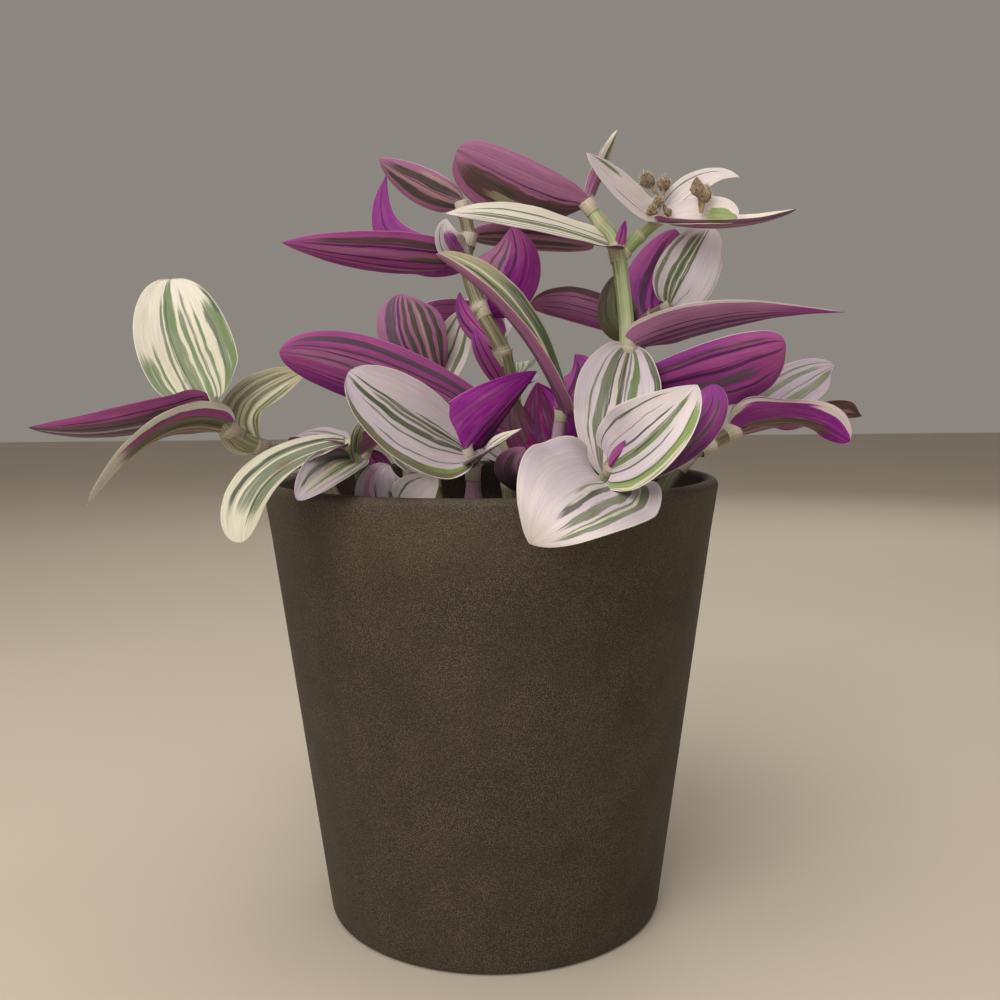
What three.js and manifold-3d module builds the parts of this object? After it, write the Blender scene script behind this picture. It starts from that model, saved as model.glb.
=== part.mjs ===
// A striped purple tradescantia growing in a tapered stoneware pot, in millimetres.
// +Z is up, the origin is the centre of the pot's foot, and -Y is the front.
// Each leafy shoot is one solid: a jointed stem with the leaves that grow from its nodes.

import * as THREE from "three";
import { mergeVertices } from "three/addons/utils/BufferGeometryUtils.js";
import Module from "manifold-3d";

const wasm = await Module();
wasm.setup();

// Pot
const potHeight = 136;
const rimRadius = 70;
const footRadius = 52.5;
const wall = 4.6;
const floorThickness = 7;
const footRounding = 2;
const potSides = 42;

// Soil
const soilLevel = 121;
const soilDome = 3;
const soilLumps = 1.1;
const soilSides = 21; // a divisor of potSides, so that their corners line up
const soilRings = 4;

// Shoots
const leafThickness = 0.8;
const leastHalfWidth = 0.4; // of a leaf, at its tip
const waveRate = 9; // turns of a waved margin, in radians along the leaf
const waveOffset = 2; // between its two sides
const stemSides = 6;
const stemSteps = 2; // sections from one node to the next
const stemTaper = 0.72; // thickness at the end of a shoot, as a share of that at its foot
const nodeSwelling = 1.22;
const rootDepth = 22;
const clearance = 0.35;
const stalkRadius = 0.7;
const stalkSides = 5;

const claspReach = 0.2; // share of the blade that folds round its stem
const claspAngle = THREE.MathUtils.degToRad(62);
const blades = [
  { widest: 12, rows: [0, 0.18, 0.42, 0.7, 1], columns: [-1, 0, 1] },
  { widest: 17, rows: [0, 0.1, 0.3, 0.55, 0.8, 1], columns: [-1, -0.52, 0, 0.52, 1] },
  { widest: 40, rows: [0, 0.08, 0.22, 0.42, 0.64, 0.85, 1], columns: [-1, -0.52, 0, 0.52, 1] },
]; // a narrower leaf has fewer faces

const colours = {
  pot: 0x40352a,
  soil: 0x2a211b,
  shoot: 0x8f5a8c,
  buds: 0x9a8663,
};

const vec = (p) => new THREE.Vector3(...p);
const smooth = (x) => THREE.MathUtils.smoothstep(x, 0, 1);

function solidOf(geometry) {
  const bare = geometry.clone();
  bare.deleteAttribute("normal");
  bare.deleteAttribute("uv");
  const merged = mergeVertices(bare, 1e-4);
  return new wasm.Manifold(
    new wasm.Mesh({
      numProp: 3,
      vertProperties: merged.attributes.position.array,
      triVerts: new Uint32Array(merged.index.array),
    })
  );
}

function geometryOf(solid) {
  const mesh = solid.getMesh();
  const geometry = new THREE.BufferGeometry();
  geometry.setAttribute("position", new THREE.BufferAttribute(mesh.vertProperties, 3));
  geometry.setIndex(new THREE.BufferAttribute(mesh.triVerts, 1));
  geometry.computeVertexNormals();
  return geometry;
}

// A closed skin over rings of equally many points. Facing quads are split alike.
function loft(rings) {
  const count = rings[0].length;
  const half = count / 2;
  const faces = [];
  for (let i = 0; i < rings.length - 1; i++) {
    for (let k = 0; k < count; k++) {
      const a = i * count + k;
      const b = i * count + ((k + 1) % count);
      if (k < half) faces.push(a, b, b + count, a, b + count, a + count);
      else faces.push(a, b, a + count, b, b + count, a + count);
    }
  }
  const end = (rings.length - 1) * count;
  for (let k = 0; k < half - 1; k++) {
    const across = count - 1 - k;
    faces.push(k, across, k + 1, k + 1, across, across - 1);
    faces.push(end + k, end + k + 1, end + across, end + k + 1, end + across - 1, end + across);
  }
  const geometry = new THREE.BufferGeometry().setFromPoints(rings.flat());
  geometry.setIndex(faces);
  return geometry;
}

// Half width of a leaf at u, from its base to its tip, as a share of the widest
function outline(u, [base, tip]) {
  const shape = (x) => Math.pow(x + 0.02, base) * Math.pow(1 - x, tip);
  return shape(u) / shape(base / (base + tip));
}

function bladeGeometry(leaf, base) {
  const mid = vec(leaf.mid);
  const tip = vec(leaf.tip);
  const halfway = base.clone().add(tip).multiplyScalar(0.5);
  const control = mid.clone().multiplyScalar(2).sub(halfway);
  const midrib = new THREE.QuadraticBezierCurve3(base, control, tip);
  const cup = THREE.MathUtils.degToRad(leaf.cup ?? 25);
  const twist = THREE.MathUtils.degToRad(leaf.twist ?? 0);
  const [near, far] = leaf.halves ?? [1, 1];
  const { rows, columns } = blades.find(({ widest }) => leaf.width < widest);
  const rings = rows.map((u) => {
    const along = midrib.getTangent(u);
    const up = vec(leaf.face).addScaledVector(along, -vec(leaf.face).dot(along)).normalize();
    up.applyAxisAngle(along, -twist * u);
    const side = along.clone().cross(up);
    const spread = (leaf.width / 2) * outline(u, leaf.blunt ?? [0.5, 0.85]);
    const clasp = 1 - smooth(u / claspReach);
    const bend = cup + (claspAngle - cup) * clasp;
    const upper = [];
    const under = [];
    for (const s of columns) {
      const angle = bend * s;
      const halfWidth = Math.max(spread * (s < 0 ? near : far), leastHalfWidth);
      const wave = Math.sin(waveRate * u + (s < 0 ? waveOffset : 0)) * s * s * smooth(u / 0.3);
      const ripple = (leaf.wave ?? 0) * wave * (1 - smooth(u / 0.7 - 0.4) * 0.6);
      const lift = (halfWidth * (1 - Math.cos(angle))) / bend + ripple;
      const point = midrib
        .getPoint(u)
        .addScaledVector(side, (halfWidth * Math.sin(angle)) / bend)
        .addScaledVector(up, lift);
      const normal = up.clone().multiplyScalar(Math.cos(angle)).addScaledVector(side, -Math.sin(angle));
      upper.push(point.clone().addScaledVector(normal, leafThickness / 2));
      under.unshift(point.clone().addScaledVector(normal, -leafThickness / 2));
    }
    return [...upper, ...under];
  });
  return loft(rings);
}

// A stem along its nodes, thicker at each. From the soil, it starts at its root.
function stemGeometry(shoot, grow = 0) {
  const points = shoot.nodes.map(vec);
  const [foot] = points;
  if (foot.z < soilLevel) points.unshift(foot.clone().setZ(foot.z - rootDepth - grow));
  const path = new THREE.CatmullRomCurve3(points, false, "catmullrom", 0.5);
  const spans = points.length - 1;
  const rings = [];
  let side = new THREE.Vector3(1, 0, 0);
  for (let i = 0; i <= spans * stemSteps; i++) {
    const t = i / (spans * stemSteps);
    const along = path.getTangent(t);
    side = side.clone().addScaledVector(along, -side.dot(along)).normalize();
    const front = along.clone().cross(side);
    const onNode = i % stemSteps === 0 && i > stemSteps;
    const taper = THREE.MathUtils.lerp(shoot.radius, shoot.radius * stemTaper, t);
    const radius = taper * (onNode ? nodeSwelling : 1) + grow;
    const centre = path.getPoint(t);
    rings.push(
      Array.from({ length: stemSides }, (_, k) => {
        const angle = (2 * Math.PI * k) / stemSides;
        return centre
          .clone()
          .addScaledVector(side, radius * Math.cos(angle))
          .addScaledVector(front, radius * Math.sin(angle));
      })
    );
  }
  return loft(rings);
}

function shootSolid(shoot) {
  let solid = solidOf(stemGeometry(shoot));
  for (const leaf of shoot.leaves) {
    solid = solid.add(solidOf(bladeGeometry(leaf, vec(shoot.nodes[leaf.node]))));
  }
  return shoot.branch ? solid.add(shootSolid(shoot.branch)) : solid;
}

function rod(from, to, radius) {
  const length = from.distanceTo(to);
  const upright = new THREE.Vector3(0, 1, 0);
  const turn = new THREE.Quaternion().setFromUnitVectors(upright, to.clone().sub(from).normalize());
  return new THREE.CylinderGeometry(radius, radius, length, stalkSides)
    .translate(0, length / 2, 0)
    .applyQuaternion(turn)
    .translate(...from);
}

function budSolid(cluster) {
  const foot = vec(cluster.foot);
  const parts = cluster.buds.map(([x, y, z, radius]) => {
    const centre = new THREE.Vector3(x, y, z);
    const ball = new THREE.SphereGeometry(radius, 6, 3).translate(x, y, z);
    return [solidOf(ball), solidOf(rod(foot, centre, stalkRadius))];
  });
  return wasm.Manifold.union(parts.flat());
}

// The shoots. A leaf grows from a node of its stem, through mid to tip, and its upper side faces face.
// halves gives the width of its two sides, blunt the roundness of its base and tip, and cup its fold.
const shoots = {
  shoot_left_trailing: {
    radius: 2.8,
    nodes: [
      [-44, -8, 118], [-53, -9, 138], [-61, -12, 144], [-69, -18, 147], [-76, -22, 152], [-81, -24, 160],
    ],
    leaves: [
      {
        node: 3, mid: [-72, -14, 158], tip: [-57, -4, 169], width: 19, face: [-0.5, -0.85, 0.15], cup: 32,
        blunt: [0.45, 0.6],
      },
      {
        node: 4, mid: [-91, -38, 152], tip: [-106, -56, 134], width: 19, face: [-0.2, 0.75, 0.65],
        twist: 45, blunt: [0.4, 0.5],
      },
      { node: 5, mid: [-104, -34, 153], tip: [-126, -42, 154], width: 22, face: [0, 0.46, 0.9] },
      {
        node: 5, mid: [-91, -16, 179], tip: [-96, -6, 197], width: 29.5, face: [0.1, -0.85, 0.4],
        halves: [0.92, 1], blunt: [0.3, 0.45],
      },
    ],
  },
  shoot_front_left: {
    radius: 1.9,
    nodes: [[-34, -34, 118], [-35, -37, 132], [-37, -42, 144], [-39, -46, 149]],
    leaves: [
      {
        node: 3, mid: [-57, -60, 141], tip: [-62, -72, 126], width: 16.9, face: [-0.3, -0.6, 0.7], cup: 40,
        blunt: [0.5, 0.42],
      },
      {
        node: 2, mid: [-42, -59, 142], tip: [-49, -67, 136], width: 14, face: [0.1, -0.7, 0.7], cup: 45,
        blunt: [0.4, 0.6],
      },
      { node: 2, mid: [-36, -49, 151], tip: [-33, -50, 156], width: 4, face: [0.5, -0.8, 0.2] },
      { node: 3, mid: [-50, -38, 151], tip: [-57, -32, 149], width: 10, face: [0, -0.3, 0.95] },
    ],
  },
  shoot_rim_seedling: {
    radius: 1.6,
    nodes: [[-24, -42, 118], [-24, -44, 126], [-24, -46, 131]],
    leaves: [
      { node: 1, mid: [-29, -45.5, 136.5], tip: [-27.5, -45, 143], width: 18, face: [0, -0.95, 0.3] },
      { node: 2, mid: [-19, -52, 136], tip: [-14, -54, 141], width: 14, face: [0, -0.95, 0.3], cup: 50 },
    ],
  },
  shoot_front: {
    radius: 2.5,
    nodes: [[-5, -38, 118], [-5, -40, 133], [-5, -42, 142], [-7, -43, 147]],
    leaves: [
      {
        node: 3, mid: [-22, -56, 157], tip: [-36, -62, 168], width: 27, face: [0.4, -0.8, 0.45], cup: 30,
        halves: [1.25, 0.75], blunt: [0.45, 0.55],
      },
      {
        node: 3, mid: [1, -42, 156], tip: [13, -37, 168], width: 19, face: [-0.3, 0.85, 0.4], cup: 30,
        halves: [0.57, 1.32], blunt: [0.14, 0.8],
      },
      { node: 2, mid: [-1, -54, 147], tip: [8, -57, 153], width: 9, face: [-0.3, -0.4, 0.9], cup: 40 },
    ],
  },
  shoot_centre: {
    radius: 2.8,
    nodes: [
      [6, -6, 118], [6, -6, 134], [6, -7, 148], [6, -8, 161], [4, -8, 174], [-3, -4, 188], [-7, 0, 202],
      [-6, 2, 210], [-8, 4, 220],
    ],
    leaves: [
      {
        node: 2, mid: [-33, -22, 167], tip: [-59, -32, 174], width: 22, face: [0.15, 0.95, 0.3],
        blunt: [0.5, 0.6],
      },
      { node: 3, mid: [-2, -18, 173], tip: [-4, -18, 181], width: 6, face: [0.3, 0.9, 0.2] },
      { node: 3, mid: [8, 12, 166], tip: [4, 26, 162], width: 16, face: [0, 0.3, 0.95] },
      { node: 4, mid: [-7, -3, 184], tip: [-9, 2, 193], width: 8, face: [0.5, 0.8, 0.2] },
      {
        node: 5, mid: [7, 0, 200], tip: [7, 4, 213], width: 22, face: [-0.1, 0.95, 0.2],
        blunt: [0.5, 0.8],
      },
      { node: 6, mid: [-34, -12, 203], tip: [-60, -18, 206], width: 17, face: [0.05, 0.7, 0.7] },
      {
        node: 6, mid: [-30, 5, 210], tip: [-31.5, 8, 230], width: 12.9, face: [0.3, 0.95, 0.1],
        blunt: [0.4, 0.9],
      },
      { node: 6, mid: [-12, -8, 207], tip: [-12.5, -8, 214], width: 10, face: [0.2, -0.95, 0.1] },
      {
        node: 7, mid: [13, 17, 211], tip: [34, 18, 209], width: 16.9, face: [0, 0.5, 0.85],
        blunt: [0.5, 0.4],
      },
      {
        node: 8, mid: [-21, 2, 225], tip: [-33, 0, 233], width: 13, face: [0.2, 0.8, 0.5],
        blunt: [0.5, 0.7],
      },
    ],
  },
  shoot_middle: {
    radius: 2.3,
    nodes: [[20, -28, 118], [20, -28, 133], [19, -31, 147], [20, -33, 157]],
    leaves: [
      {
        node: 3, mid: [6, -44, 182], tip: [-14, -46, 199], width: 25, face: [0.6, -0.35, 0.7], cup: 45,
        halves: [1.3, 0.92], blunt: [0.5, 0.52],
      },
      { node: 2, mid: [17, -19, 154], tip: [14, -14, 165], width: 21, face: [0, 1, 0.1] },
      { node: 3, mid: [27, -21, 166], tip: [25, -17, 173], width: 11.9, face: [0.1, 1, 0.1] },
      { node: 1, mid: [9, -20, 150], tip: [8, -18, 161], width: 11, face: [0, 1, 0] },
      { node: 1, mid: [8, -47, 140], tip: [9, -54, 148], width: 16.9, face: [0.2, 0.9, 0.3], cup: 40 },
    ],
  },
  shoot_right_flowering: {
    radius: 2.9,
    nodes: [
      [35, -8, 118], [36, -8, 134], [39, -8, 150], [41, -8, 162], [42, -8, 175], [39, -4, 205],
      [34, -3, 213], [30, -2, 219],
    ],
    leaves: [
      {
        node: 3, mid: [66, -22, 169], tip: [85, -26, 175], width: 25, face: [0.1, 0.85, 0.5],
        halves: [1.35, 0.65], blunt: [0.5, 0.4],
      },
      {
        node: 4, mid: [69, -20, 183], tip: [101, -28, 184], width: 18, face: [0.1, 0.5, 0.85],
        blunt: [0.5, 1.3],
      },
      {
        node: 4, mid: [35, -35, 158], tip: [31, -46, 139], width: 25, face: [0, -0.9, 0.4],
        blunt: [0.6, 0.7],
      },
      { node: 5, mid: [12, -22, 210], tip: [-12, -30, 212], width: 20, face: [0, -0.58, 0.8] },
      {
        node: 7, mid: [11, -7, 223.5], tip: [-9, -9, 233.5], width: 23.5, face: [0.1, 0.75, 0.6],
        halves: [0.68, 1.32], blunt: [0.5, 0.33],
      },
      { node: 7, mid: [35, 2, 231], tip: [40, 4, 242], width: 6.5, face: [-0.6, 0.7, 0.3] },
    ],
    branch: {
      radius: 2.2,
      nodes: [[39, -4, 202], [46, -2, 209], [52, 0, 214]],
      leaves: [
        { node: 2, mid: [39, -8, 222.5], tip: [29, -12, 232], width: 12.5, face: [0.3, -0.8, 0.5] },
        { node: 2, mid: [71, -14, 210], tip: [89, -20, 214], width: 16.9, face: [0, -0.25, 1], cup: 42 },
        { node: 2, mid: [66, 6, 226.5], tip: [77.5, 2, 227], width: 9, face: [0, -0.8, 0.6] },
        {
          node: 2, mid: [64, -13, 213.5], tip: [72, -19, 211], width: 13, face: [0, -0.85, 0.5], cup: 40,
          blunt: [0.45, 0.5],
        },
        { node: 0, mid: [40, -7, 208], tip: [41, -8, 213], width: 4, face: [0, 1, 0.2], cup: 60 },
      ],
    },
  },
  shoot_right_inner: {
    radius: 2.2,
    nodes: [[49, 18, 118], [49, 18, 132], [51, 16, 159], [48, 13, 181], [52, 10, 186], [57, 6, 189]],
    leaves: [
      {
        node: 3, mid: [29, 17, 189], tip: [13, 12, 190], width: 14, face: [0, 0.8, 0.6],
        blunt: [0.5, 0.6],
      },
      {
        node: 3, mid: [41, 11, 186], tip: [41, 11, 199], width: 14, face: [0.2, 0.9, 0.2],
        blunt: [0.5, 0.6],
      },
      {
        node: 4, mid: [54, 20, 196], tip: [61, 20, 214], width: 21, face: [0, 1, 0.1],
        blunt: [0.5, 0.6],
      },
      {
        node: 5, mid: [62, 2, 199], tip: [69, 4, 213], width: 20, face: [-0.1, -0.95, 0.2],
        blunt: [0.45, 0.55],
      },
      { node: 2, mid: [62, 32, 168], tip: [74, 42, 166], width: 16, face: [0.2, 0.4, 0.9] },
    ],
  },
  shoot_front_right: {
    radius: 2.1,
    nodes: [[27, -46, 118], [28, -46, 132], [30, -54, 139], [31, -59, 143]],
    leaves: [
      {
        node: 3, mid: [42, -68, 153], tip: [53, -60, 164], width: 24, face: [-0.25, -0.88, 0.4], cup: 30,
        halves: [1, 0.92], blunt: [0.3, 0.8],
      },
      { node: 3, mid: [35, -63, 148], tip: [38, -64, 150], width: 5, face: [0, 0.9, 0.3] },
      {
        node: 2, mid: [52, -50, 152], tip: [59.5, -46, 164], width: 15, face: [0.5, 0.8, 0.2],
        blunt: [0.5, 0.5],
      },
      {
        node: 2, mid: [18, -84, 138], tip: [9, -86, 127], width: 33, face: [0, -0.85, 0.5], cup: 12,
        halves: [1.12, 1], blunt: [0.25, 0.75],
      },
    ],
  },
  shoot_right_trailing: {
    radius: 3,
    nodes: [[49, -14, 118], [51, -13, 130], [59, -12, 142], [67, -10, 146], [75, -7, 150]],
    leaves: [
      { node: 4, mid: [98, 5, 163], tip: [109, 4, 169], width: 20, face: [-0.3, -0.7, 0.6] },
      {
        node: 4, mid: [89, -22, 154], tip: [104, -26, 147], width: 20, face: [0, 0.6, 0.8], wave: 2,
        blunt: [0.5, 0.65],
      },
      {
        node: 3, mid: [107, 22, 153], tip: [125, 26, 153], width: 13, face: [0, 0.6, 0.8],
        blunt: [0.5, 0.5],
      },
      { node: 2, mid: [64, 8, 150], tip: [70, 24, 149], width: 15, face: [0.1, 0.3, 0.95] },
    ],
  },
  shoot_back_left: {
    radius: 2.3,
    nodes: [[-17, 20, 118], [-19, 20, 134], [-20, 13, 150], [-18, 9, 163]],
    leaves: [
      {
        node: 3, mid: [-26, 2, 180], tip: [-27.5, 6, 193], width: 22, face: [0.1, 0.95, 0.1],
        halves: [1.15, 0.85], blunt: [0.5, 0.45],
      },
      { node: 3, mid: [-12, 12, 178], tip: [-8, 15, 189], width: 13, face: [0.1, -0.95, 0.2] },
      { node: 2, mid: [-36, 34, 160], tip: [-44, 52, 160], width: 20, face: [-0.4, 0.2, 0.9] },
      { node: 1, mid: [-28, 37, 143], tip: [-30, 50, 150], width: 16, face: [-0.4, 0.1, 0.9] },
    ],
  },
  shoot_back_middle: {
    radius: 2.6,
    nodes: [[6, 30, 118], [7, 34, 134], [9, 38, 150], [8, 40, 166], [4, 38, 180]],
    leaves: [
      { node: 4, mid: [0, 46, 194], tip: [2, 58, 203], width: 16.9, face: [0, -0.7, 0.7] },
      { node: 4, mid: [-16, 36, 186], tip: [-36, 40, 180], width: 20, face: [-0.1, 0.6, 0.8] },
      {
        node: 3, mid: [8, 62, 172], tip: [8, 82, 165], width: 20, face: [0, 0.5, 0.85],
        blunt: [0.5, 0.6],
      },
      { node: 2, mid: [-8, 62, 158], tip: [-18, 84, 154], width: 20, face: [-0.1, 0.5, 0.85] },
      { node: 2, mid: [28, 46, 160], tip: [44, 54, 162], width: 16.9, face: [0.2, 0.5, 0.8] },
      { node: 1, mid: [-6, 46, 143], tip: [-18, 56, 146], width: 15, face: [-0.3, 0.3, 0.9] },
    ],
  },
  shoot_back_trailing: {
    radius: 2.5,
    nodes: [[-26, 44, 118], [-29, 50, 132], [-33, 59, 143], [-38, 68, 147], [-44, 78, 145], [-49, 86, 138]],
    leaves: [
      { node: 2, mid: [-18, 76, 148], tip: [-6, 90, 138], width: 20, face: [0, 0.5, 0.85] },
      { node: 3, mid: [-54, 74, 138], tip: [-70, 80, 126], width: 16.9, face: [-0.2, 0.4, 0.9] },
      {
        node: 4, mid: [-34, 98, 140], tip: [-30, 108, 120], width: 22, face: [0.2, 0.9, 0.4],
        blunt: [0.5, 0.7],
      },
      {
        node: 5, mid: [-62, 94, 130], tip: [-68, 98, 112], width: 22, face: [-0.4, 0.8, 0.4],
        blunt: [0.5, 0.7],
      },
      { node: 5, mid: [-46, 98, 122], tip: [-48, 100, 104], width: 16.9, face: [0.1, 0.9, 0.3] },
    ],
  },
  shoot_back_right: {
    radius: 2.4,
    nodes: [[30, 34, 118], [34, 42, 132], [40, 52, 143], [47, 62, 147], [54, 70, 150]],
    leaves: [
      { node: 1, mid: [18, 58, 142], tip: [14, 78, 146], width: 20, face: [-0.3, 0.3, 0.9] },
      { node: 2, mid: [60, 44, 152], tip: [78, 42, 156], width: 20, face: [0.2, 0.3, 0.9] },
      {
        node: 3, mid: [38, 84, 148], tip: [34, 98, 134], width: 24, face: [-0.1, 0.8, 0.6],
        blunt: [0.4, 0.6],
      },
      { node: 4, mid: [70, 80, 160], tip: [84, 84, 158], width: 20, face: [0.1, 0.4, 0.9] },
      {
        node: 4, mid: [56, 88, 150], tip: [56, 98, 134], width: 22, face: [0.1, 0.85, 0.5],
        blunt: [0.5, 0.6],
      },
      { node: 4, mid: [56, 76, 164], tip: [58, 84, 172], width: 11.9, face: [0, -0.6, 0.8] },
    ],
  },
};

// Dried flower buds, each a ball on its own stalk from the foot of its cluster
const budClusters = {
  flower_buds: {
    foot: [52.8, -3, 218.8],
    buds: [
      [49, 1, 226, 2.4], [54, 1, 225, 2.3], [51, -6.5, 218.5, 1.9], [48.6, -9.5, 215.5, 1.9],
      [54, -6, 215.5, 1.4],
    ],
  },
  flower_buds_outer: {
    foot: [62.5, -14.4, 214],
    buds: [[61.5, -14.5, 221, 2.3], [63.5, -15, 219, 2.2]],
  },
};

// Pot: a turned wall with a rounded lip on a flat foot with a rounded edge
function potGeometry() {
  const lip = wall / 2;
  const slope = (rimRadius - footRadius) / potHeight;
  const outerAt = (z) => footRadius + slope * z;
  const profile = new THREE.Path();
  profile.moveTo(0, 0);
  profile.lineTo(footRadius - footRounding, 0);
  profile.quadraticCurveTo(footRadius, 0, outerAt(footRounding), footRounding);
  profile.lineTo(outerAt(potHeight - lip), potHeight - lip);
  profile.absarc(rimRadius - lip, potHeight - lip, lip, 0, Math.PI, false);
  profile.lineTo(outerAt(floorThickness) - wall, floorThickness);
  profile.lineTo(0, floorThickness);
  return new THREE.LatheGeometry(profile.getPoints(3), potSides);
}

function soilSolid() {
  const slope = (rimRadius - footRadius) / potHeight;
  const radiusAt = (z) => footRadius + slope * z - wall - clearance;
  const profile = [new THREE.Vector2(0, floorThickness + clearance)];
  profile.push(new THREE.Vector2(radiusAt(floorThickness), floorThickness + clearance));
  for (let i = 0; i <= soilRings; i++) {
    const share = 1 - i / soilRings;
    const height = soilLevel + soilDome * (1 - share * share);
    profile.push(new THREE.Vector2(radiusAt(soilLevel) * share, height - soilDome));
  }
  const geometry = new THREE.LatheGeometry(profile, soilSides).rotateX(Math.PI / 2);
  const position = geometry.attributes.position;
  for (let i = 0; i < position.count; i++) {
    const [x, y, z] = [position.getX(i), position.getY(i), position.getZ(i)];
    const edge = 1 - Math.pow(Math.hypot(x, y) / radiusAt(soilLevel), 4);
    const lump = Math.sin(x * 0.21 + 1) * Math.cos(y * 0.19) + 0.6 * Math.sin(x * 0.37 - y * 0.41);
    if (z > soilLevel / 2) position.setZ(i, z + soilLumps * lump * edge);
  }
  let solid = solidOf(geometry);
  for (const shoot of Object.values(shoots)) {
    solid = solid.subtract(solidOf(stemGeometry(shoot, clearance)));
  }
  return solid;
}

function mesh(name, geometry, colour, roughness) {
  const material = new THREE.MeshStandardMaterial({ color: colour, roughness, metalness: 0 });
  const made = new THREE.Mesh(geometry, material);
  made.name = name;
  return made;
}

const plant = new THREE.Group();
const pot = mesh("pot", potGeometry(), colours.pot, 0.55);
pot.rotation.x = Math.PI / 2;
plant.add(pot);
plant.add(mesh("soil", geometryOf(soilSolid()), colours.soil, 0.95));
for (const [name, shoot] of Object.entries(shoots)) {
  plant.add(mesh(name, geometryOf(shootSolid(shoot)), colours.shoot, 0.5));
}
for (const [name, cluster] of Object.entries(budClusters)) {
  plant.add(mesh(name, geometryOf(budSolid(cluster)), colours.buds, 0.9));
}

export default plant;
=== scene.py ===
# A striped purple tradescantia in a tapered stoneware pot.
# Sizes and places are in millimetres, and mm turns them into Blender's metres. The front is -Y.
import bpy
import math
from mathutils import Matrix, Vector


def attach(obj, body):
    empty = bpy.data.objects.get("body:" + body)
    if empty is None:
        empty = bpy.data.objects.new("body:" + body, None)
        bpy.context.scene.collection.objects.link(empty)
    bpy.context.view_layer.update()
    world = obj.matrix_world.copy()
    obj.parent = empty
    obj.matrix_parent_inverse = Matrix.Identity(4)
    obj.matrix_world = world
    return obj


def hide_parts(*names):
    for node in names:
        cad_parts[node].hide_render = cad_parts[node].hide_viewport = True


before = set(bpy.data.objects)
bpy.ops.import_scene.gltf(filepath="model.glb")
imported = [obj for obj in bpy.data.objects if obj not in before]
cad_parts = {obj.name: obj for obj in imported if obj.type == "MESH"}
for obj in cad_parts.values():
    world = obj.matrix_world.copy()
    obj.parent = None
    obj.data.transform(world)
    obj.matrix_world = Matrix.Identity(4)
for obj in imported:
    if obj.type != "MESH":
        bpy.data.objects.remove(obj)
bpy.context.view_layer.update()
mm = 0.001


# Node helpers, for shaders and for Geometry Nodes

class Field:  # a node's output; sums and products of such outputs make the math nodes for them
    def __init__(self, tree, socket):
        self.tree = tree
        self.socket = socket
        self.isVector = socket.type in ("VECTOR", "RGBA")

    def mix(self, operation, other, swap=False):
        vector = self.isVector or getattr(other, "isVector", False)
        pair = (other, self) if swap else (self, other)
        return (vectorCalc if vector else calc)(self.tree, operation, *pair)

    def __add__(self, other):
        return self.mix("ADD", other)

    def __sub__(self, other):
        return self.mix("SUBTRACT", other)

    def __rsub__(self, other):
        return self.mix("SUBTRACT", other, swap=True)

    def __truediv__(self, other):
        return self.mix("DIVIDE", other)

    def __mul__(self, other):
        otherIsVector = getattr(other, "isVector", isinstance(other, tuple))
        if self.isVector and not otherIsVector:
            return vectorCalc(self.tree, "SCALE", self, other)
        if otherIsVector and not self.isVector:
            return vectorCalc(self.tree, "SCALE", other, self)
        return self.mix("MULTIPLY", other)

    __radd__ = __add__


def wire(tree, socket, value):  # links a node's output to the socket, or sets a plain value
    value = getattr(value, "socket", value)
    if isinstance(value, bpy.types.NodeSocket):
        tree.links.new(value, socket)
    elif isinstance(value, (int, float)) and socket.type == "VECTOR":
        socket.default_value = (value, value, value)
    else:
        socket.default_value = value


def usable(sockets, name):
    return next(socket for socket in sockets if socket.name == name and socket.enabled)


def newNode(tree, kind, inputs=None, **settings):
    made = tree.nodes.new(kind)
    for name, value in settings.items():
        setattr(made, name, value)
    for name, value in (inputs or {}).items():
        socket = made.inputs[name] if isinstance(name, int) else usable(made.inputs, name)
        wire(tree, socket, value)
    return made


def add(tree, kind, inputs=None, output=None, **settings):  # a new node's first or named output
    made = newNode(tree, kind, inputs, **settings)
    return Field(tree, usable(made.outputs, output) if output else made.outputs[0])


def besides(value, output):  # another output of the same node
    return Field(value.tree, usable(value.socket.node.outputs, output))


def calc(tree, operation, *values):
    made = newNode(tree, "ShaderNodeMath", operation=operation)
    for socket, value in zip(made.inputs, values):
        wire(tree, socket, value)
    return Field(tree, made.outputs[0])


def vectorCalc(tree, operation, *values):
    made = newNode(tree, "ShaderNodeVectorMath", operation=operation)
    sockets = [made.inputs[0], made.inputs["Scale"]] if operation == "SCALE" else made.inputs
    for socket, value in zip(sockets, values):
        wire(tree, socket, value)
    isNumber = operation in ("DOT_PRODUCT", "LENGTH")
    return Field(tree, made.outputs["Value" if isNumber else "Vector"])


def unit(value):
    return vectorCalc(value.tree, "NORMALIZE", value)


def sine(value):
    return calc(value.tree, "SINE", value)


def cosine(value):
    return calc(value.tree, "COSINE", value)


def bell(value):  # 1 at zero, falling to nothing on both sides
    return calc(value.tree, "EXPONENT", value * value * -1.0)


def held(value):  # between 0 and 1
    made = calc(value.tree, "ADD", value, 0.0)
    made.socket.node.use_clamp = True
    return made


def smooth(value):  # between 0 and 1, with soft ends
    share = held(value)
    return share * share * (3.0 - share * 2.0)


def split(value):
    parts = newNode(value.tree, "ShaderNodeSeparateXYZ", {0: value})
    return [Field(value.tree, socket) for socket in parts.outputs]


def vectorOf(tree, *values):
    return add(tree, "ShaderNodeCombineXYZ", dict(enumerate(values)))


def noise(tree, place, scale, detail=2.0, roughness=0.5):
    return add(tree, "ShaderNodeTexNoise", {
        "Vector": place, "Scale": scale, "Detail": detail, "Roughness": roughness})


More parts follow.
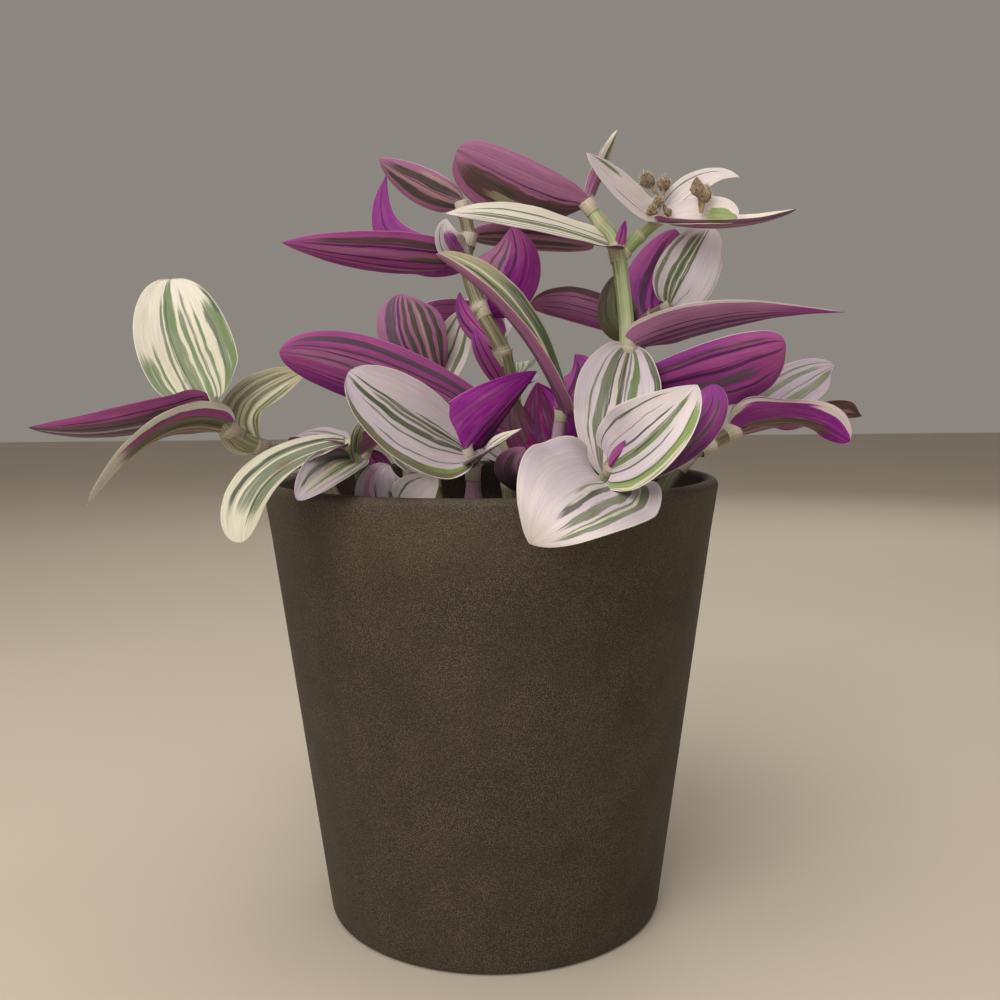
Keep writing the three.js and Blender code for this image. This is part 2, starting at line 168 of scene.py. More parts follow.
def newTree(name, inputs):  # a Geometry Nodes tree with named inputs, and those inputs as fields
    tree = bpy.data.node_groups.new(name, "GeometryNodeTree")
    kinds = {float: "Float", int: "Int", tuple: "Vector", bpy.types.Material: "Material"}
    tree.interface.new_socket("Geometry", in_out="INPUT", socket_type="NodeSocketGeometry")
    for label, value in inputs.items():
        kind = "NodeSocket" + kinds[type(value)]
        socket = tree.interface.new_socket(label, in_out="INPUT", socket_type=kind)
        socket.default_value = value
    tree.interface.new_socket("Geometry", in_out="OUTPUT", socket_type="NodeSocketGeometry")
    start = tree.nodes.new("NodeGroupInput")
    given = {socket.name: Field(tree, socket) for socket in start.outputs if socket.name}
    return tree, given


def together(tree, *geometries):
    join = newNode(tree, "GeometryNodeJoinGeometry")
    for geometry in geometries:
        wire(tree, join.inputs[0], geometry)
    return Field(tree, join.outputs[0])


def realised(tree, geometry):
    return add(tree, "GeometryNodeRealizeInstances", {"Geometry": geometry})


def endTree(tree, *geometries):  # joins the geometries and makes them one real mesh
    real = realised(tree, together(tree, *geometries))
    finish = tree.nodes.new("NodeGroupOutput")
    wire(tree, finish.inputs[0], real)


def moved(tree, geometry, **inputs):
    return add(tree, "GeometryNodeSetPosition", {"Geometry": geometry, **inputs})


def skinned(tree, geometry, material):
    shaded = add(tree, "GeometryNodeSetShadeSmooth", {0: geometry})
    return add(tree, "GeometryNodeSetMaterial", {"Geometry": shaded, "Material": material})


def storeField(tree, geometry, name, value, kind="FLOAT"):
    stored = newNode(tree, "GeometryNodeStoreNamedAttribute", {"Geometry": geometry, "Name": name},
                     data_type=kind, domain="POINT")
    wire(tree, usable(stored.inputs, "Value"), value)
    return Field(tree, stored.outputs[0])


def readField(tree, name, kind="FLOAT"):
    return add(tree, "GeometryNodeInputNamedAttribute", {"Name": name}, "Attribute", data_type=kind)


def aimed(tree, direction):  # the turn that points Z in a direction
    return add(tree, "FunctionNodeAlignEulerToVector", {"Vector": direction}, axis="Z")


def randomVector(tree, least, most, seed):
    return add(tree, "FunctionNodeRandomValue", {"Min": least, "Max": most, "Seed": seed},
               data_type="FLOAT_VECTOR")


def repeated(tree, points, shape, rotation, **inputs):  # a copy of the shape on each point
    return add(tree, "GeometryNodeInstanceOnPoints", {
        "Points": points, "Instance": shape, "Rotation": rotation, **inputs})


def hairShape(tree, radius, length):
    return add(tree, "GeometryNodeMeshCone", {
        "Vertices": 3, "Side Segments": 1, "Radius Top": 0.0, "Radius Bottom": radius,
        "Depth": length})


def onPoints(tree, given, shape):  # on each vertex, along its growth and in its size
    points = add(tree, "GeometryNodeMeshToPoints", {"Mesh": given["Geometry"]})
    turned = aimed(tree, readField(tree, "growth", "FLOAT_VECTOR"))
    return repeated(tree, points, shape, turned, Scale=readField(tree, "size"))


def grown(tree, inputs, start=None):  # the plain mesh that a tree makes with these inputs
    holder = bpy.data.objects.new("holder", start or bpy.data.meshes.new("holder"))
    bpy.context.collection.objects.link(holder)
    modifier = holder.modifiers.new("grow", "NODES")
    modifier.node_group = tree
    for item in tree.interface.items_tree:
        if item.in_out == "INPUT" and item.name in inputs:
            modifier[item.identifier] = inputs[item.name]
    depsgraph = bpy.context.evaluated_depsgraph_get()
    made = bpy.data.meshes.new_from_object(
        holder.evaluated_get(depsgraph), preserve_all_data_layers=True, depsgraph=depsgraph)
    bpy.data.objects.remove(holder)
    return made


def joined(name, meshes):  # one object of several meshes, each with its own materials
    parts = [bpy.data.objects.new(name, mesh) for mesh in meshes]
    for part in parts:
        bpy.context.collection.objects.link(part)
    if len(parts) > 1:
        with bpy.context.temp_override(active_object=parts[0], selected_editable_objects=parts):
            bpy.ops.object.join()
    return parts[0]


def placed(piece, node):
    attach(piece, "root")
    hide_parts(node)


# Colours, as seen in daylight

def linear(colour):
    return tuple(((c / 255 + 0.055) / 1.055) ** 2.4 for c in colour) + (1.0,)


palette = {name: linear(colour) for name, colour in {
    "white": (240, 236, 224),
    "cream": (218, 211, 194),
    "bone": (200, 194, 170),
    "pinkWhite": (212, 199, 196),
    "lilac": (198, 185, 192),
    "greyLilac": (166, 150, 162),
    "straw": (166, 158, 124),
    "leafGreen": (98, 118, 72),
    "brightGreen": (122, 142, 74),
    "deepGreen": (70, 86, 54),
    "greyGreen": (106, 114, 88),
    "darkGreen": (66, 72, 52),
    "olive": (102, 102, 68),
    "vivid": (130, 26, 128),
    "violet": (136, 52, 130),
    "magenta": (164, 78, 142),
    "rose": (170, 108, 148),
    "mauve": (160, 106, 140),
    "wine": (102, 12, 76),
    "plum": (78, 40, 76),
    "slate": (92, 78, 92),
    "dusk": (82, 70, 62),
    "brown": (86, 68, 58),
    "leafBrown": (112, 94, 70),
    "stemPale": (168, 174, 134),
    "stemGreen": (120, 140, 78),
    "sheathTan": (178, 166, 142),
}.items()}


def newMaterial(name, roughness, specular, colour=None):
    material = bpy.data.materials.new(name)
    material.use_nodes = True
    tree = material.node_tree
    shader = tree.nodes["Principled BSDF"]
    shader.inputs["Roughness"].default_value = roughness
    shader.inputs["Specular IOR Level"].default_value = specular
    if colour:
        shader.inputs["Base Color"].default_value = colour
    return material, tree, shader


def mixColour(tree, amount, first, second, blend="MIX"):
    made = newNode(tree, "ShaderNodeMix", data_type="RGBA", blend_type=blend)
    wire(tree, made.inputs[0], amount)
    wire(tree, made.inputs[6], first)
    wire(tree, made.inputs[7], second)
    return Field(tree, made.outputs[2])


def finishSurface(tree, shader, colour, roughness, height, distance, strength):
    bump = add(tree, "ShaderNodeBump", {
        "Height": height, "Distance": distance, "Strength": strength})
    wire(tree, shader.inputs["Base Color"], colour)
    wire(tree, shader.inputs["Normal"], bump)
    if roughness is not None:
        wire(tree, shader.inputs["Roughness"], roughness)


def attribute(tree, name, output="Fac"):
    return add(tree, "ShaderNodeAttribute", output=output, attribute_name=name)


def objectPlace(tree):
    return add(tree, "ShaderNodeTexCoord", output="Object")


# Leaves: a look has the ground colours above and below, from base to tip, the margin's colour and
# the stripes. A stripe has its place across the leaf, half its width, its start and its end along
# the leaf, its colour above and its colour below, which is slate if it isn't given.

def leafLook(upper, under, edge, *stripes):
    names = ("across", "half", "start", "end", "upper", "under")
    lines = [dict(zip(names, stripe + ("slate",))) for stripe in stripes]
    return {"upper": upper, "under": under, "edge": edge, "stripes": lines}


looks = {
    "uprightCream": leafLook(  # the tall pale leaf on the left
        ("bone", "cream"), ("mauve", "rose"), "cream",
        (-0.86, 0.17, 0, 0.42, "leafGreen"), (-0.6, 0.03, 0, 0.5, "leafGreen"),
        (-0.34, 0.03, 0, 0.85, "greyGreen"), (-0.12, 0.13, 0, 1.05, "leafGreen"),
        (-0.2, 0.02, 0, 0.9, "deepGreen"), (0.12, 0.05, 0, 0.75, "leafGreen"),
        (0.27, 0.03, 0, 0.9, "greyGreen"), (0.45, 0.035, 0, 0.7, "leafGreen"),
        (0.86, 0.2, 0.03, 0.75, "leafGreen"), (0.68, 0.025, 0, 0.7, "deepGreen"),
        (0.92, 0.06, 0.6, 0.9, "deepGreen")),
    "outstretched": leafLook(  # the long leaf that points left, seen from below
        ("cream", "lilac"), ("dusk", "slate"), "mauve",
        (-0.85, 0.34, 0, 1.1, "leafGreen", "magenta"), (-0.25, 0.04, 0, 1.0, "deepGreen", "plum"),
        (-0.62, 0.03, 0, 0.9, "deepGreen", "plum"), (0.0, 0.05, 0, 1.0, "deepGreen", "greyLilac"),
        (0.2, 0.05, 0, 0.9, "cream", "plum"), (0.4, 0.05, 0, 0.9, "leafGreen", "leafBrown"),
        (0.65, 0.06, 0, 1.0, "greyGreen", "plum"), (0.88, 0.08, 0, 1.0, "greyGreen", "mauve")),
    "drooping": leafLook(
        ("cream", "pinkWhite"), ("olive", "olive"), "bone",
        (-0.88, 0.12, 0, 1.0, "cream", "white"), (-0.58, 0.13, 0, 1.0, "leafGreen", "magenta"),
        (-0.35, 0.08, 0, 0.9, "leafGreen", "greyGreen"), (-0.1, 0.05, 0, 0.8, "deepGreen", "dusk"),
        (0.15, 0.05, 0, 0.8, "deepGreen", "straw"), (0.45, 0.07, 0.1, 1.0, "leafGreen", "mauve"),
        (0.75, 0.06, 0, 0.8, "greyGreen", "dusk"), (0.0, 1.3, 0.8, 1.3, "cream", "white")),
    "straw": leafLook(
        ("straw", "straw"), ("mauve", "mauve"), "bone",
        (-0.75, 0.06, 0, 0.9, "greyGreen"), (-0.45, 0.1, 0, 0.95, "olive"),
        (-0.2, 0.03, 0, 1.0, "greyGreen"), (0.05, 0.08, 0, 1.0, "olive"),
        (0.3, 0.06, 0, 0.9, "bone"), (0.5, 0.05, 0, 0.9, "darkGreen"),
        (0.72, 0.1, 0, 0.9, "olive")),
    "drooped": leafLook(
        ("greyGreen", "bone"), ("rose", "mauve"), "bone",
        (-0.75, 0.2, 0.1, 1.0, "bone"), (-0.3, 0.2, 0, 0.85, "greyGreen"),
        (-0.1, 0.04, 0, 0.9, "darkGreen"), (0.05, 0.03, 0.05, 0.9, "bone"),
        (0.25, 0.2, 0, 0.8, "greyGreen"), (0.5, 0.04, 0, 0.9, "bone"),
        (0.68, 0.06, 0, 0.8, "darkGreen"), (0.88, 0.1, 0, 1.0, "bone"),
        (0.05, 0.2, 0.34, 0.46, "leafBrown")),
    "greyLines": leafLook(
        ("greyGreen", "greyLilac"), ("greyLilac", "mauve"), "pinkWhite",
        (-0.65, 0.1, 0, 0.9, "greyLilac"), (-0.3, 0.08, 0, 0.9, "straw"),
        (-0.1, 0.04, 0, 0.9, "deepGreen"), (0.15, 0.06, 0, 0.9, "straw"),
        (0.45, 0.08, 0, 0.9, "darkGreen"), (0.75, 0.1, 0, 0.8, "greyLilac")),
    "smallGreen": leafLook(
        ("greyGreen", "straw"), ("greyGreen", "mauve"), "straw",
        (0.2, 0.15, 0, 1.0, "deepGreen"), (-0.5, 0.1, 0, 1.0, "bone")),
    "pinkBrown": leafLook(
        ("greyLilac", "greyLilac"), ("rose", "mauve"), "pinkWhite",
        (-0.4, 0.1, 0, 0.9, "leafBrown"), (0.1, 0.06, 0, 0.9, "brown"),
        (0.5, 0.12, 0, 0.9, "greyGreen")),
    "seedling": leafLook(
        ("greyLilac", "greyLilac"), ("rose", "mauve"), "lilac",
        (0.15, 0.05, 0, 0.5, "darkGreen"), (-0.3, 0.04, 0, 0.6, "darkGreen"),
        (-0.6, 0.1, 0, 0.9, "mauve"), (0.5, 0.04, 0, 0.7, "darkGreen")),
    "folded": leafLook(
        ("pinkWhite", "pinkWhite"), ("lilac", "rose"), "cream",
        (-0.6, 0.05, 0, 0.8, "greyGreen"), (0.5, 0.04, 0, 0.6, "greyGreen")),
    "lilacOlive": leafLook(  # the broad leaf in front
        ("lilac", "lilac"), ("magenta", "rose"), "cream",
        (-0.87, 0.1, 0, 0.95, "olive"), (-0.8, 0.05, 0, 0.35, "brightGreen"),
        (-0.62, 0.015, 0.05, 0.7, "greyGreen"), (-0.33, 0.02, 0.05, 0.85, "greyGreen"),
        (-0.17, 0.05, 0, 1.0, "deepGreen"), (-0.03, 0.03, 0, 0.8, "greyGreen"),
        (0.08, 0.04, 0, 1.0, "deepGreen"), (0.2, 0.02, 0, 0.45, "deepGreen")),
    "violetUpright": leafLook(
        ("lilac", "rose"), ("vivid", "vivid"), "rose",
        (-0.72, 0.36, 0, 1.0, "deepGreen", "plum"), (-0.3, 0.08, 0, 0.95, "deepGreen", "wine"),
        (0.0, 0.04, 0, 1.0, "deepGreen", "plum"), (0.55, 0.12, 0.1, 0.9, "rose", "violet")),
    "whiteGreen": leafLook(
        ("pinkWhite", "cream"), ("lilac", "mauve"), "cream",
        (-0.5, 0.08, 0, 0.9, "leafGreen"), (0.1, 0.06, 0, 0.9, "deepGreen"),
        (0.6, 0.1, 0, 0.8, "leafGreen")),
    "magentaLong": leafLook(  # the long leaf over the broad one
        ("lilac", "pinkWhite"), ("magenta", "magenta"), "rose",
        (-0.12, 0.2, 0.15, 0.95, "cream", "rose"), (0.78, 0.24, 0, 1.0, "greyGreen", "violet"),
        (-0.72, 0.08, 0, 0.95, "leafGreen"), (-0.45, 0.04, 0, 1.0, "leafGreen", "dusk"),
        (-0.28, 0.02, 0, 1.0, "deepGreen", "plum"), (-0.02, 0.03, 0, 1.0, "leafGreen"),
        (0.3, 0.07, 0, 0.6, "deepGreen"), (0.45, 0.02, 0, 0.9, "deepGreen", "plum")),
    "vivid": leafLook(
        ("lilac", "rose"), ("magenta", "violet"), "rose",
        (0.3, 0.12, 0, 0.9, "leafGreen", "plum"), (-0.4, 0.06, 0, 0.9, "deepGreen", "wine")),
    "vividHalf": leafLook(  # the broad violet leaf behind the middle
        ("lilac", "rose"), ("vivid", "magenta"), "rose",
        (0.6, 0.42, 0, 0.9, "greyGreen", "mauve"), (0.0, 0.04, 0, 1.0, "deepGreen", "plum"),
        (0.3, 0.05, 0, 0.9, "deepGreen"), (0.6, 0.04, 0, 0.9, "deepGreen", "dusk"),
        (-0.4, 0.03, 0, 0.9, "deepGreen", "wine")),
    "longDusky": leafLook(  # the long leaf high on the left
        ("lilac", "pinkWhite"), ("magenta", "magenta"), "rose",
        (-0.6, 0.14, 0, 0.85, "leafGreen", "dusk"), (-0.35, 0.05, 0, 0.95, "deepGreen", "plum"),
        (-0.1, 0.12, 0.1, 0.9, "cream", "rose"), (0.1, 0.04, 0, 1.0, "leafGreen", "plum"),
        (0.45, 0.04, 0, 0.95, "deepGreen", "plum"), (0.8, 0.14, 0, 0.9, "greyGreen", "violet"),
        (0.0, 0.08, 0, 0.32, "brightGreen", "olive"), (0.62, 0.04, 0, 0.5, "cream", "greyLilac")),
    "oneLine": leafLook(
        ("lilac", "lilac"), ("violet", "violet"), "lilac",
        (0.0, 0.06, 0, 1.0, "deepGreen", "plum"), (0.5, 0.05, 0, 0.7, "leafGreen", "violet")),
    "violetHeart": leafLook(
        ("lilac", "lilac"), ("violet", "mauve"), "lilac",
        (0.2, 0.35, 0, 0.75, "violet", "plum"), (-0.6, 0.05, 0, 0.9, "greyGreen", "dusk")),
    "pinkOlive": leafLook(
        ("lilac", "pinkWhite"), ("rose", "rose"), "rose",
        (-0.6, 0.12, 0, 0.9, "leafGreen", "brown"),
        (-0.15, 0.14, 0, 0.95, "deepGreen", "darkGreen"), (0.1, 0.03, 0, 0.9, "cream", "straw"),
        (0.4, 0.1, 0, 0.9, "leafGreen", "dusk")),
    "twoBands": leafLook(
        ("lilac", "pinkWhite"), ("rose", "mauve"), "lilac",
        (-0.42, 0.18, 0, 0.9, "deepGreen", "darkGreen"),
        (0.35, 0.2, 0, 0.9, "leafGreen", "darkGreen"), (0.0, 0.05, 0, 1.0, "cream", "straw"),
        (-0.15, 0.03, 0, 0.9, "cream", "leafBrown"), (-0.75, 0.06, 0, 0.6, "cream", "straw")),
    "diagonal": leafLook(  # the long leaf that crosses the middle
        ("greyGreen", "straw"), ("mauve", "mauve"), "bone",
        (0.82, 0.16, 0, 0.65, "deepGreen"), (0.62, 0.04, 0.05, 1.0, "bone"),
        (0.42, 0.05, 0, 0.9, "deepGreen"), (0.22, 0.06, 0, 1.0, "bone"),
        (0.05, 0.05, 0, 0.9, "deepGreen"), (-0.12, 0.05, 0, 1.0, "straw"),
        (-0.35, 0.07, 0, 0.95, "greyGreen"), (-0.55, 0.05, 0, 0.8, "straw"),
        (-0.8, 0.16, 0, 0.75, "lilac", "mauve"), (-0.93, 0.06, 0.2, 1.0, "cream", "rose")),
    "darkMagenta": leafLook(
        ("lilac", "rose"), ("wine", "wine"), "rose",
        (0.4, 0.12, 0, 0.9, "deepGreen", "plum"), (0.0, 0.04, 0, 0.9, "deepGreen", "plum"),
        (-0.45, 0.2, 0, 1.0, "cream", "vivid")),
    "brownRed": leafLook(
        ("greyLilac", "rose"), ("wine", "brown"), "brown",
        (0.0, 0.1, 0, 0.9, "deepGreen", "dusk"), (0.5, 0.1, 0, 0.9, "greyGreen", "plum")),
    "duskyBands": leafLook(  # the broad leaf on the right
        ("lilac", "pinkWhite"), ("violet", "magenta"), "lilac",
        (0.2, 0.14, 0.1, 1.0, "pinkWhite", "magenta"), (0.62, 0.05, 0, 0.9, "leafGreen", "dusk"),
        (0.42, 0.05, 0, 1.0, "deepGreen", "plum"), (-0.08, 0.04, 0, 1.0, "deepGreen", "plum"),
        (-0.35, 0.1, 0, 0.75, "greyGreen"), (-0.6, 0.03, 0, 0.9, "deepGreen", "plum"),
        (-0.82, 0.12, 0, 1.0, "leafGreen", "violet")),
    "duskyFold": leafLook(  # the small leaf folded over the stem in front
        ("greyLilac", "greyLilac"), ("slate", "mauve"), "lilac",
        (0.4, 0.14, 0, 0.9, "greyGreen", "dusk"), (-0.3, 0.12, 0, 0.9, "greyGreen", "plum"),
        (0.05, 0.04, 0, 1.0, "cream", "greyLilac")),
    "longPale": leafLook(  # the long pointed leaf on the right
        ("lilac", "pinkWhite"), ("mauve", "violet"), "pinkWhite",
        (0.5, 0.35, 0, 0.75, "cream", "mauve"), (-0.6, 0.4, 0, 1.0, "leafGreen", "violet"),
        (0.3, 0.02, 0, 1.0, "leafGreen", "plum"), (0.08, 0.035, 0, 1.0, "deepGreen", "plum"),
        (-0.2, 0.04, 0, 0.9, "deepGreen", "wine"), (-0.42, 0.04, 0, 0.8, "cream", "greyLilac"),
        (-0.75, 0.04, 0, 1.0, "deepGreen", "plum"), (0.93, 0.06, 0, 1.0, "cream", "pinkWhite")),
    "broadGreen": leafLook(  # the upper of the two pale leaves over the rim
        ("lilac", "pinkWhite"), ("magenta", "rose"), "cream",
        (0.35, 0.12, 0, 1.0, "greyGreen"), (0.2, 0.02, 0, 0.95, "darkGreen"),
        (0.07, 0.03, 0, 0.95, "bone"), (-0.05, 0.07, 0, 0.95, "darkGreen"),
        (-0.2, 0.02, 0, 0.9, "greyGreen"), (-0.36, 0.08, 0, 0.85, "leafGreen"),
        (-0.88, 0.09, 0.08, 0.55, "deepGreen"), (0.6, 0.02, 0.1, 0.9, "greyGreen")),
    "whiteLong": leafLook(  # the long pale leaf near the top
        ("cream", "cream"), ("mauve", "rose"), "cream",
        (0.12, 0.1, 0, 1.0, "greyGreen"), (0.3, 0.03, 0, 0.9, "darkGreen"),
        (0.6, 0.03, 0, 0.9, "greyGreen"), (-0.15, 0.03, 0, 0.9, "greyGreen"),
        (-0.45, 0.05, 0, 0.9, "greyGreen"), (-0.85, 0.14, 0, 0.95, "mauve")),
    "patched": leafLook(  # the topmost leaf, seen from below
        ("lilac", "pinkWhite"), ("mauve", "mauve"), "rose",
        (0.88, 0.22, 0, 1.0, "greyGreen", "rose"), (0.42, 0.27, 0.02, 0.96, "leafGreen", "brown"),
        (0.52, 0.1, 0.48, 0.72, "bone", "straw"), (0.66, 0.06, 0.15, 0.5, "bone", "rose"),
        (0.32, 0.03, 0.3, 0.95, "leafGreen", "darkGreen"),
        (0.0, 0.02, 0, 0.9, "deepGreen", "plum")),
    "greenTip": leafLook(
        ("mauve", "cream"), ("mauve", "cream"), "cream",
        (0.0, 0.25, 0.5, 1.0, "leafGreen", "leafGreen")),
    "whiteBract": leafLook(
        ("pinkWhite", "lilac"), ("pinkWhite", "lilac"), "cream",
        (-0.25, 0.03, 0, 0.6, "mauve", "mauve"), (0.7, 0.1, 0.6, 0.95, "leafGreen", "lilac")),
    "mauveBract": leafLook(
        ("cream", "cream"), ("mauve", "slate"), "cream",
        (0.5, 0.1, 0, 0.9, "leafGreen", "mauve"), (-0.2, 0.06, 0, 0.9, "leafGreen", "plum"),
        (-0.6, 0.05, 0, 0.9, "cream", "greyLilac")),
    "greenEdge": leafLook(
        ("pinkWhite", "pinkWhite"), ("lilac", "rose"), "cream",
        (0.1, 0.5, 0.55, 1.1, "brightGreen", "olive"), (0.8, 0.15, 0.2, 1.0, "brightGreen")),
    "purpleBud": leafLook(
        ("magenta", "vivid"), ("magenta", "vivid"), "rose",
        (0.2, 0.1, 0, 0.9, "plum", "plum")),
    "oliveOver": leafLook(
        ("lilac", "lilac"), ("rose", "rose"), "lilac",
        (-0.9, 0.2, 0, 1.0, "leafGreen", "dusk"), (-0.5, 0.03, 0, 0.9, "deepGreen", "dusk"),
        (-0.1, 0.02, 0, 0.9, "deepGreen", "plum"), (0.2, 0.02, 0, 0.9, "deepGreen", "plum"),
        (0.7, 0.16, 0, 0.9, "leafGreen", "magenta")),
    "darkOlive": leafLook(
        ("greyGreen", "olive"), ("olive", "dusk"), "mauve",
        (0.2, 0.2, 0, 0.9, "deepGreen", "greyGreen"), (-0.6, 0.15, 0, 0.9, "cream", "dusk")),
    "magentaStripe": leafLook(
        ("lilac", "pinkWhite"), ("violet", "magenta"), "rose",
        (0.3, 0.12, 0, 0.95, "leafGreen", "plum"), (-0.05, 0.05, 0, 0.95, "deepGreen", "wine"),
        (-0.35, 0.05, 0, 0.9, "deepGreen", "plum"), (-0.7, 0.08, 0, 0.8, "greyGreen", "mauve")),
    "manyGreen": leafLook(  # the pale leaf high on the right
        ("lilac", "lilac"), ("magenta", "rose"), "pinkWhite",
        (-0.84, 0.06, 0, 0.85, "greyGreen"), (-0.27, 0.24, 0, 0.92, "greyGreen"),
        (-0.42, 0.03, 0, 0.9, "deepGreen"), (-0.32, 0.02, 0, 0.9, "bone"),
        (-0.22, 0.04, 0, 0.95, "deepGreen"), (-0.12, 0.02, 0, 0.9, "bone"),
        (-0.02, 0.03, 0, 1.0, "deepGreen"), (0.3, 0.02, 0, 0.35, "greyGreen"),
        (0.95, 0.05, 0, 0.9, "greyLilac")),
    "midribGreen": leafLook(  # the rounder of the two pale leaves over the rim
        ("lilac", "pinkWhite"), ("magenta", "rose"), "cream",
        (-0.76, 0.025, 0.05, 0.8, "darkGreen"), (-0.45, 0.012, 0.1, 0.7, "greyGreen"),
        (-0.2, 0.03, 0, 0.75, "darkGreen"), (0.05, 0.1, 0, 0.9, "leafGreen"),
        (0.02, 0.02, 0, 0.95, "darkGreen"), (0.14, 0.015, 0, 0.8, "bone"),
        (0.3, 0.02, 0, 0.6, "deepGreen"), (0.8, 0.15, 0.03, 0.85, "brightGreen"),
        (0.7, 0.02, 0.03, 0.85, "darkGreen"), (0.9, 0.03, 0.1, 0.6, "bone")),
    "curvedBands": leafLook(  # the leaf that hangs over the rim in front
        ("lilac", "pinkWhite"), ("magenta", "rose"), "cream",
        (-0.06, 0.025, 0, 0.45, "greyGreen"), (-0.2, 0.05, 0, 0.72, "darkGreen"),
        (-0.16, 0.015, 0, 0.6, "bone"), (-0.46, 0.07, 0, 0.78, "greyGreen"),
        (-0.7, 0.09, 0, 0.85, "greyGreen"), (-0.66, 0.02, 0, 0.8, "bone")),
    "pinkEdge": leafLook(
        ("lilac", "pinkWhite"), ("plum", "violet"), "pinkWhite",
        (0.2, 0.1, 0, 0.9, "leafGreen", "violet"), (-0.2, 0.04, 0, 0.9, "deepGreen", "plum"),
        (-0.5, 0.06, 0, 0.9, "greyGreen", "dusk"), (0.8, 0.12, 0, 1.0, "cream", "mauve")),
    "greyBand": leafLook(
        ("greyLilac", "greyLilac"), ("mauve", "rose"), "pinkWhite",
        (0.0, 0.03, 0, 1.0, "darkGreen"), (0.35, 0.2, 0, 0.95, "greyGreen"),
        (-0.4, 0.1, 0, 0.8, "greyGreen"), (-0.7, 0.04, 0, 0.9, "greyGreen")),
    "flipped": leafLook(  # the waved leaf at the right, seen from below
        ("pinkWhite", "pinkWhite"), ("violet", "vivid"), "pinkWhite",
        (-0.3, 0.32, 0, 0.8, "leafGreen", "leafBrown"), (-0.05, 0.04, 0, 0.9, "deepGreen", "dusk"),
        (-0.2, 0.03, 0, 0.9, "deepGreen", "dusk"), (-0.4, 0.04, 0, 0.9, "deepGreen", "dusk"),
        (-0.6, 0.03, 0, 0.8, "cream", "mauve"), (0.93, 0.07, 0, 1.0, "leafGreen", "pinkWhite"),
        (0.8, 0.16, 0.7, 1.1, "cream", "pinkWhite"), (0.82, 0.12, 0.0, 0.22, "cream", "bone")),
    "brownOlive": leafLook(
        ("olive", "straw"), ("brown", "brown"), "mauve",
        (0.2, 0.15, 0, 0.9, "cream", "mauve"), (-0.4, 0.1, 0, 0.9, "deepGreen", "olive")),
    "halfMauve": leafLook(  # the upright leaf behind, on the left
        ("lilac", "pinkWhite"), ("mauve", "mauve"), "rose",
        (-0.28, 0.06, 0, 0.95, "leafGreen", "darkGreen"), (-0.42, 0.02, 0, 0.9, "cream", "straw"),
        (-0.55, 0.07, 0, 0.9, "leafGreen", "darkGreen"),
        (-0.8, 0.06, 0, 0.85, "deepGreen", "darkGreen"),
        (-0.08, 0.05, 0, 1.0, "deepGreen", "dusk"), (0.12, 0.05, 0.3, 1.0, "deepGreen", "plum"),
        (0.45, 0.2, 0, 1.0, "cream")),
}


leafBuild = {
    "sway": 0.24, "swayStretch": (2.4, 1.7), "fray": 0.3, "frayedEdge": 0.07, "softEdge": 0.016,
    "fibres": 42.0, "fibreStretch": 2.6, "veins": 95.0, "veinStretch": 1.3, "flecks": 15.0,
    "fleckStretch": 2.2, "blotches": 4.5, "margin": 0.965, "marginShare": 0.7, "ribHalf": 0.02,
    "ribShare": 0.6, "soft": 0.02, "grain": 1500.0, "relief": 0.13 * mm,
}
leafMarks = {  # what shows between the stripes: pale flecks, dark threads, a flush and the midrib. Below, the pale flecks and the flush are painted sheen
    "upper": {"pale": "cream", "dark": "greyGreen", "tintAndSheen": "greyLilac", "rib": "straw",
              "stripes": 0.97, "tintAndSheenShare": 0.28, "fleckAndSheenShare": 0.3, "darkShare": 0.35,
              "veinDepth": 0.17, "mottling": 0.1, "roughness": 0.34, "gloss": 0.35},
    # below, the rose flecks and rose patches are painted sheen, lighter streaks and patches
    # standing in for gloss
    "under": {"pale": "rose", "dark": "plum", "tintAndSheen": "rose", "rib": "plum",
              "stripes": 0.92, "tintAndSheenShare": 0.14, "fleckAndSheenShare": 0.2, "darkShare": 0.5,
              "veinDepth": 0.26, "mottling": 0.5, "roughness": 0.4, "gloss": 0.16},
}


def stripeMask(along, across, wander, fibre, line):  # 1 on the stripe, whose sides and ends fray
    drawn = along + (fibre - 0.5) * leafBuild["fray"]
    begun = smooth((drawn - line["start"]) * 12.0 + 0.9)
    reach = begun * smooth((line["end"] - drawn) * 7.0 + 0.35)
    half = (reach * 0.7 + 0.3) * (wander * 0.9 + 0.6) * line["half"]
    off = calc(along.tree, "ABSOLUTE", across - line["across"])
    frayed = half - off + (fibre - 0.5) * leafBuild["frayedEdge"]
    return smooth(frayed / leafBuild["softEdge"] + 0.5) * reach


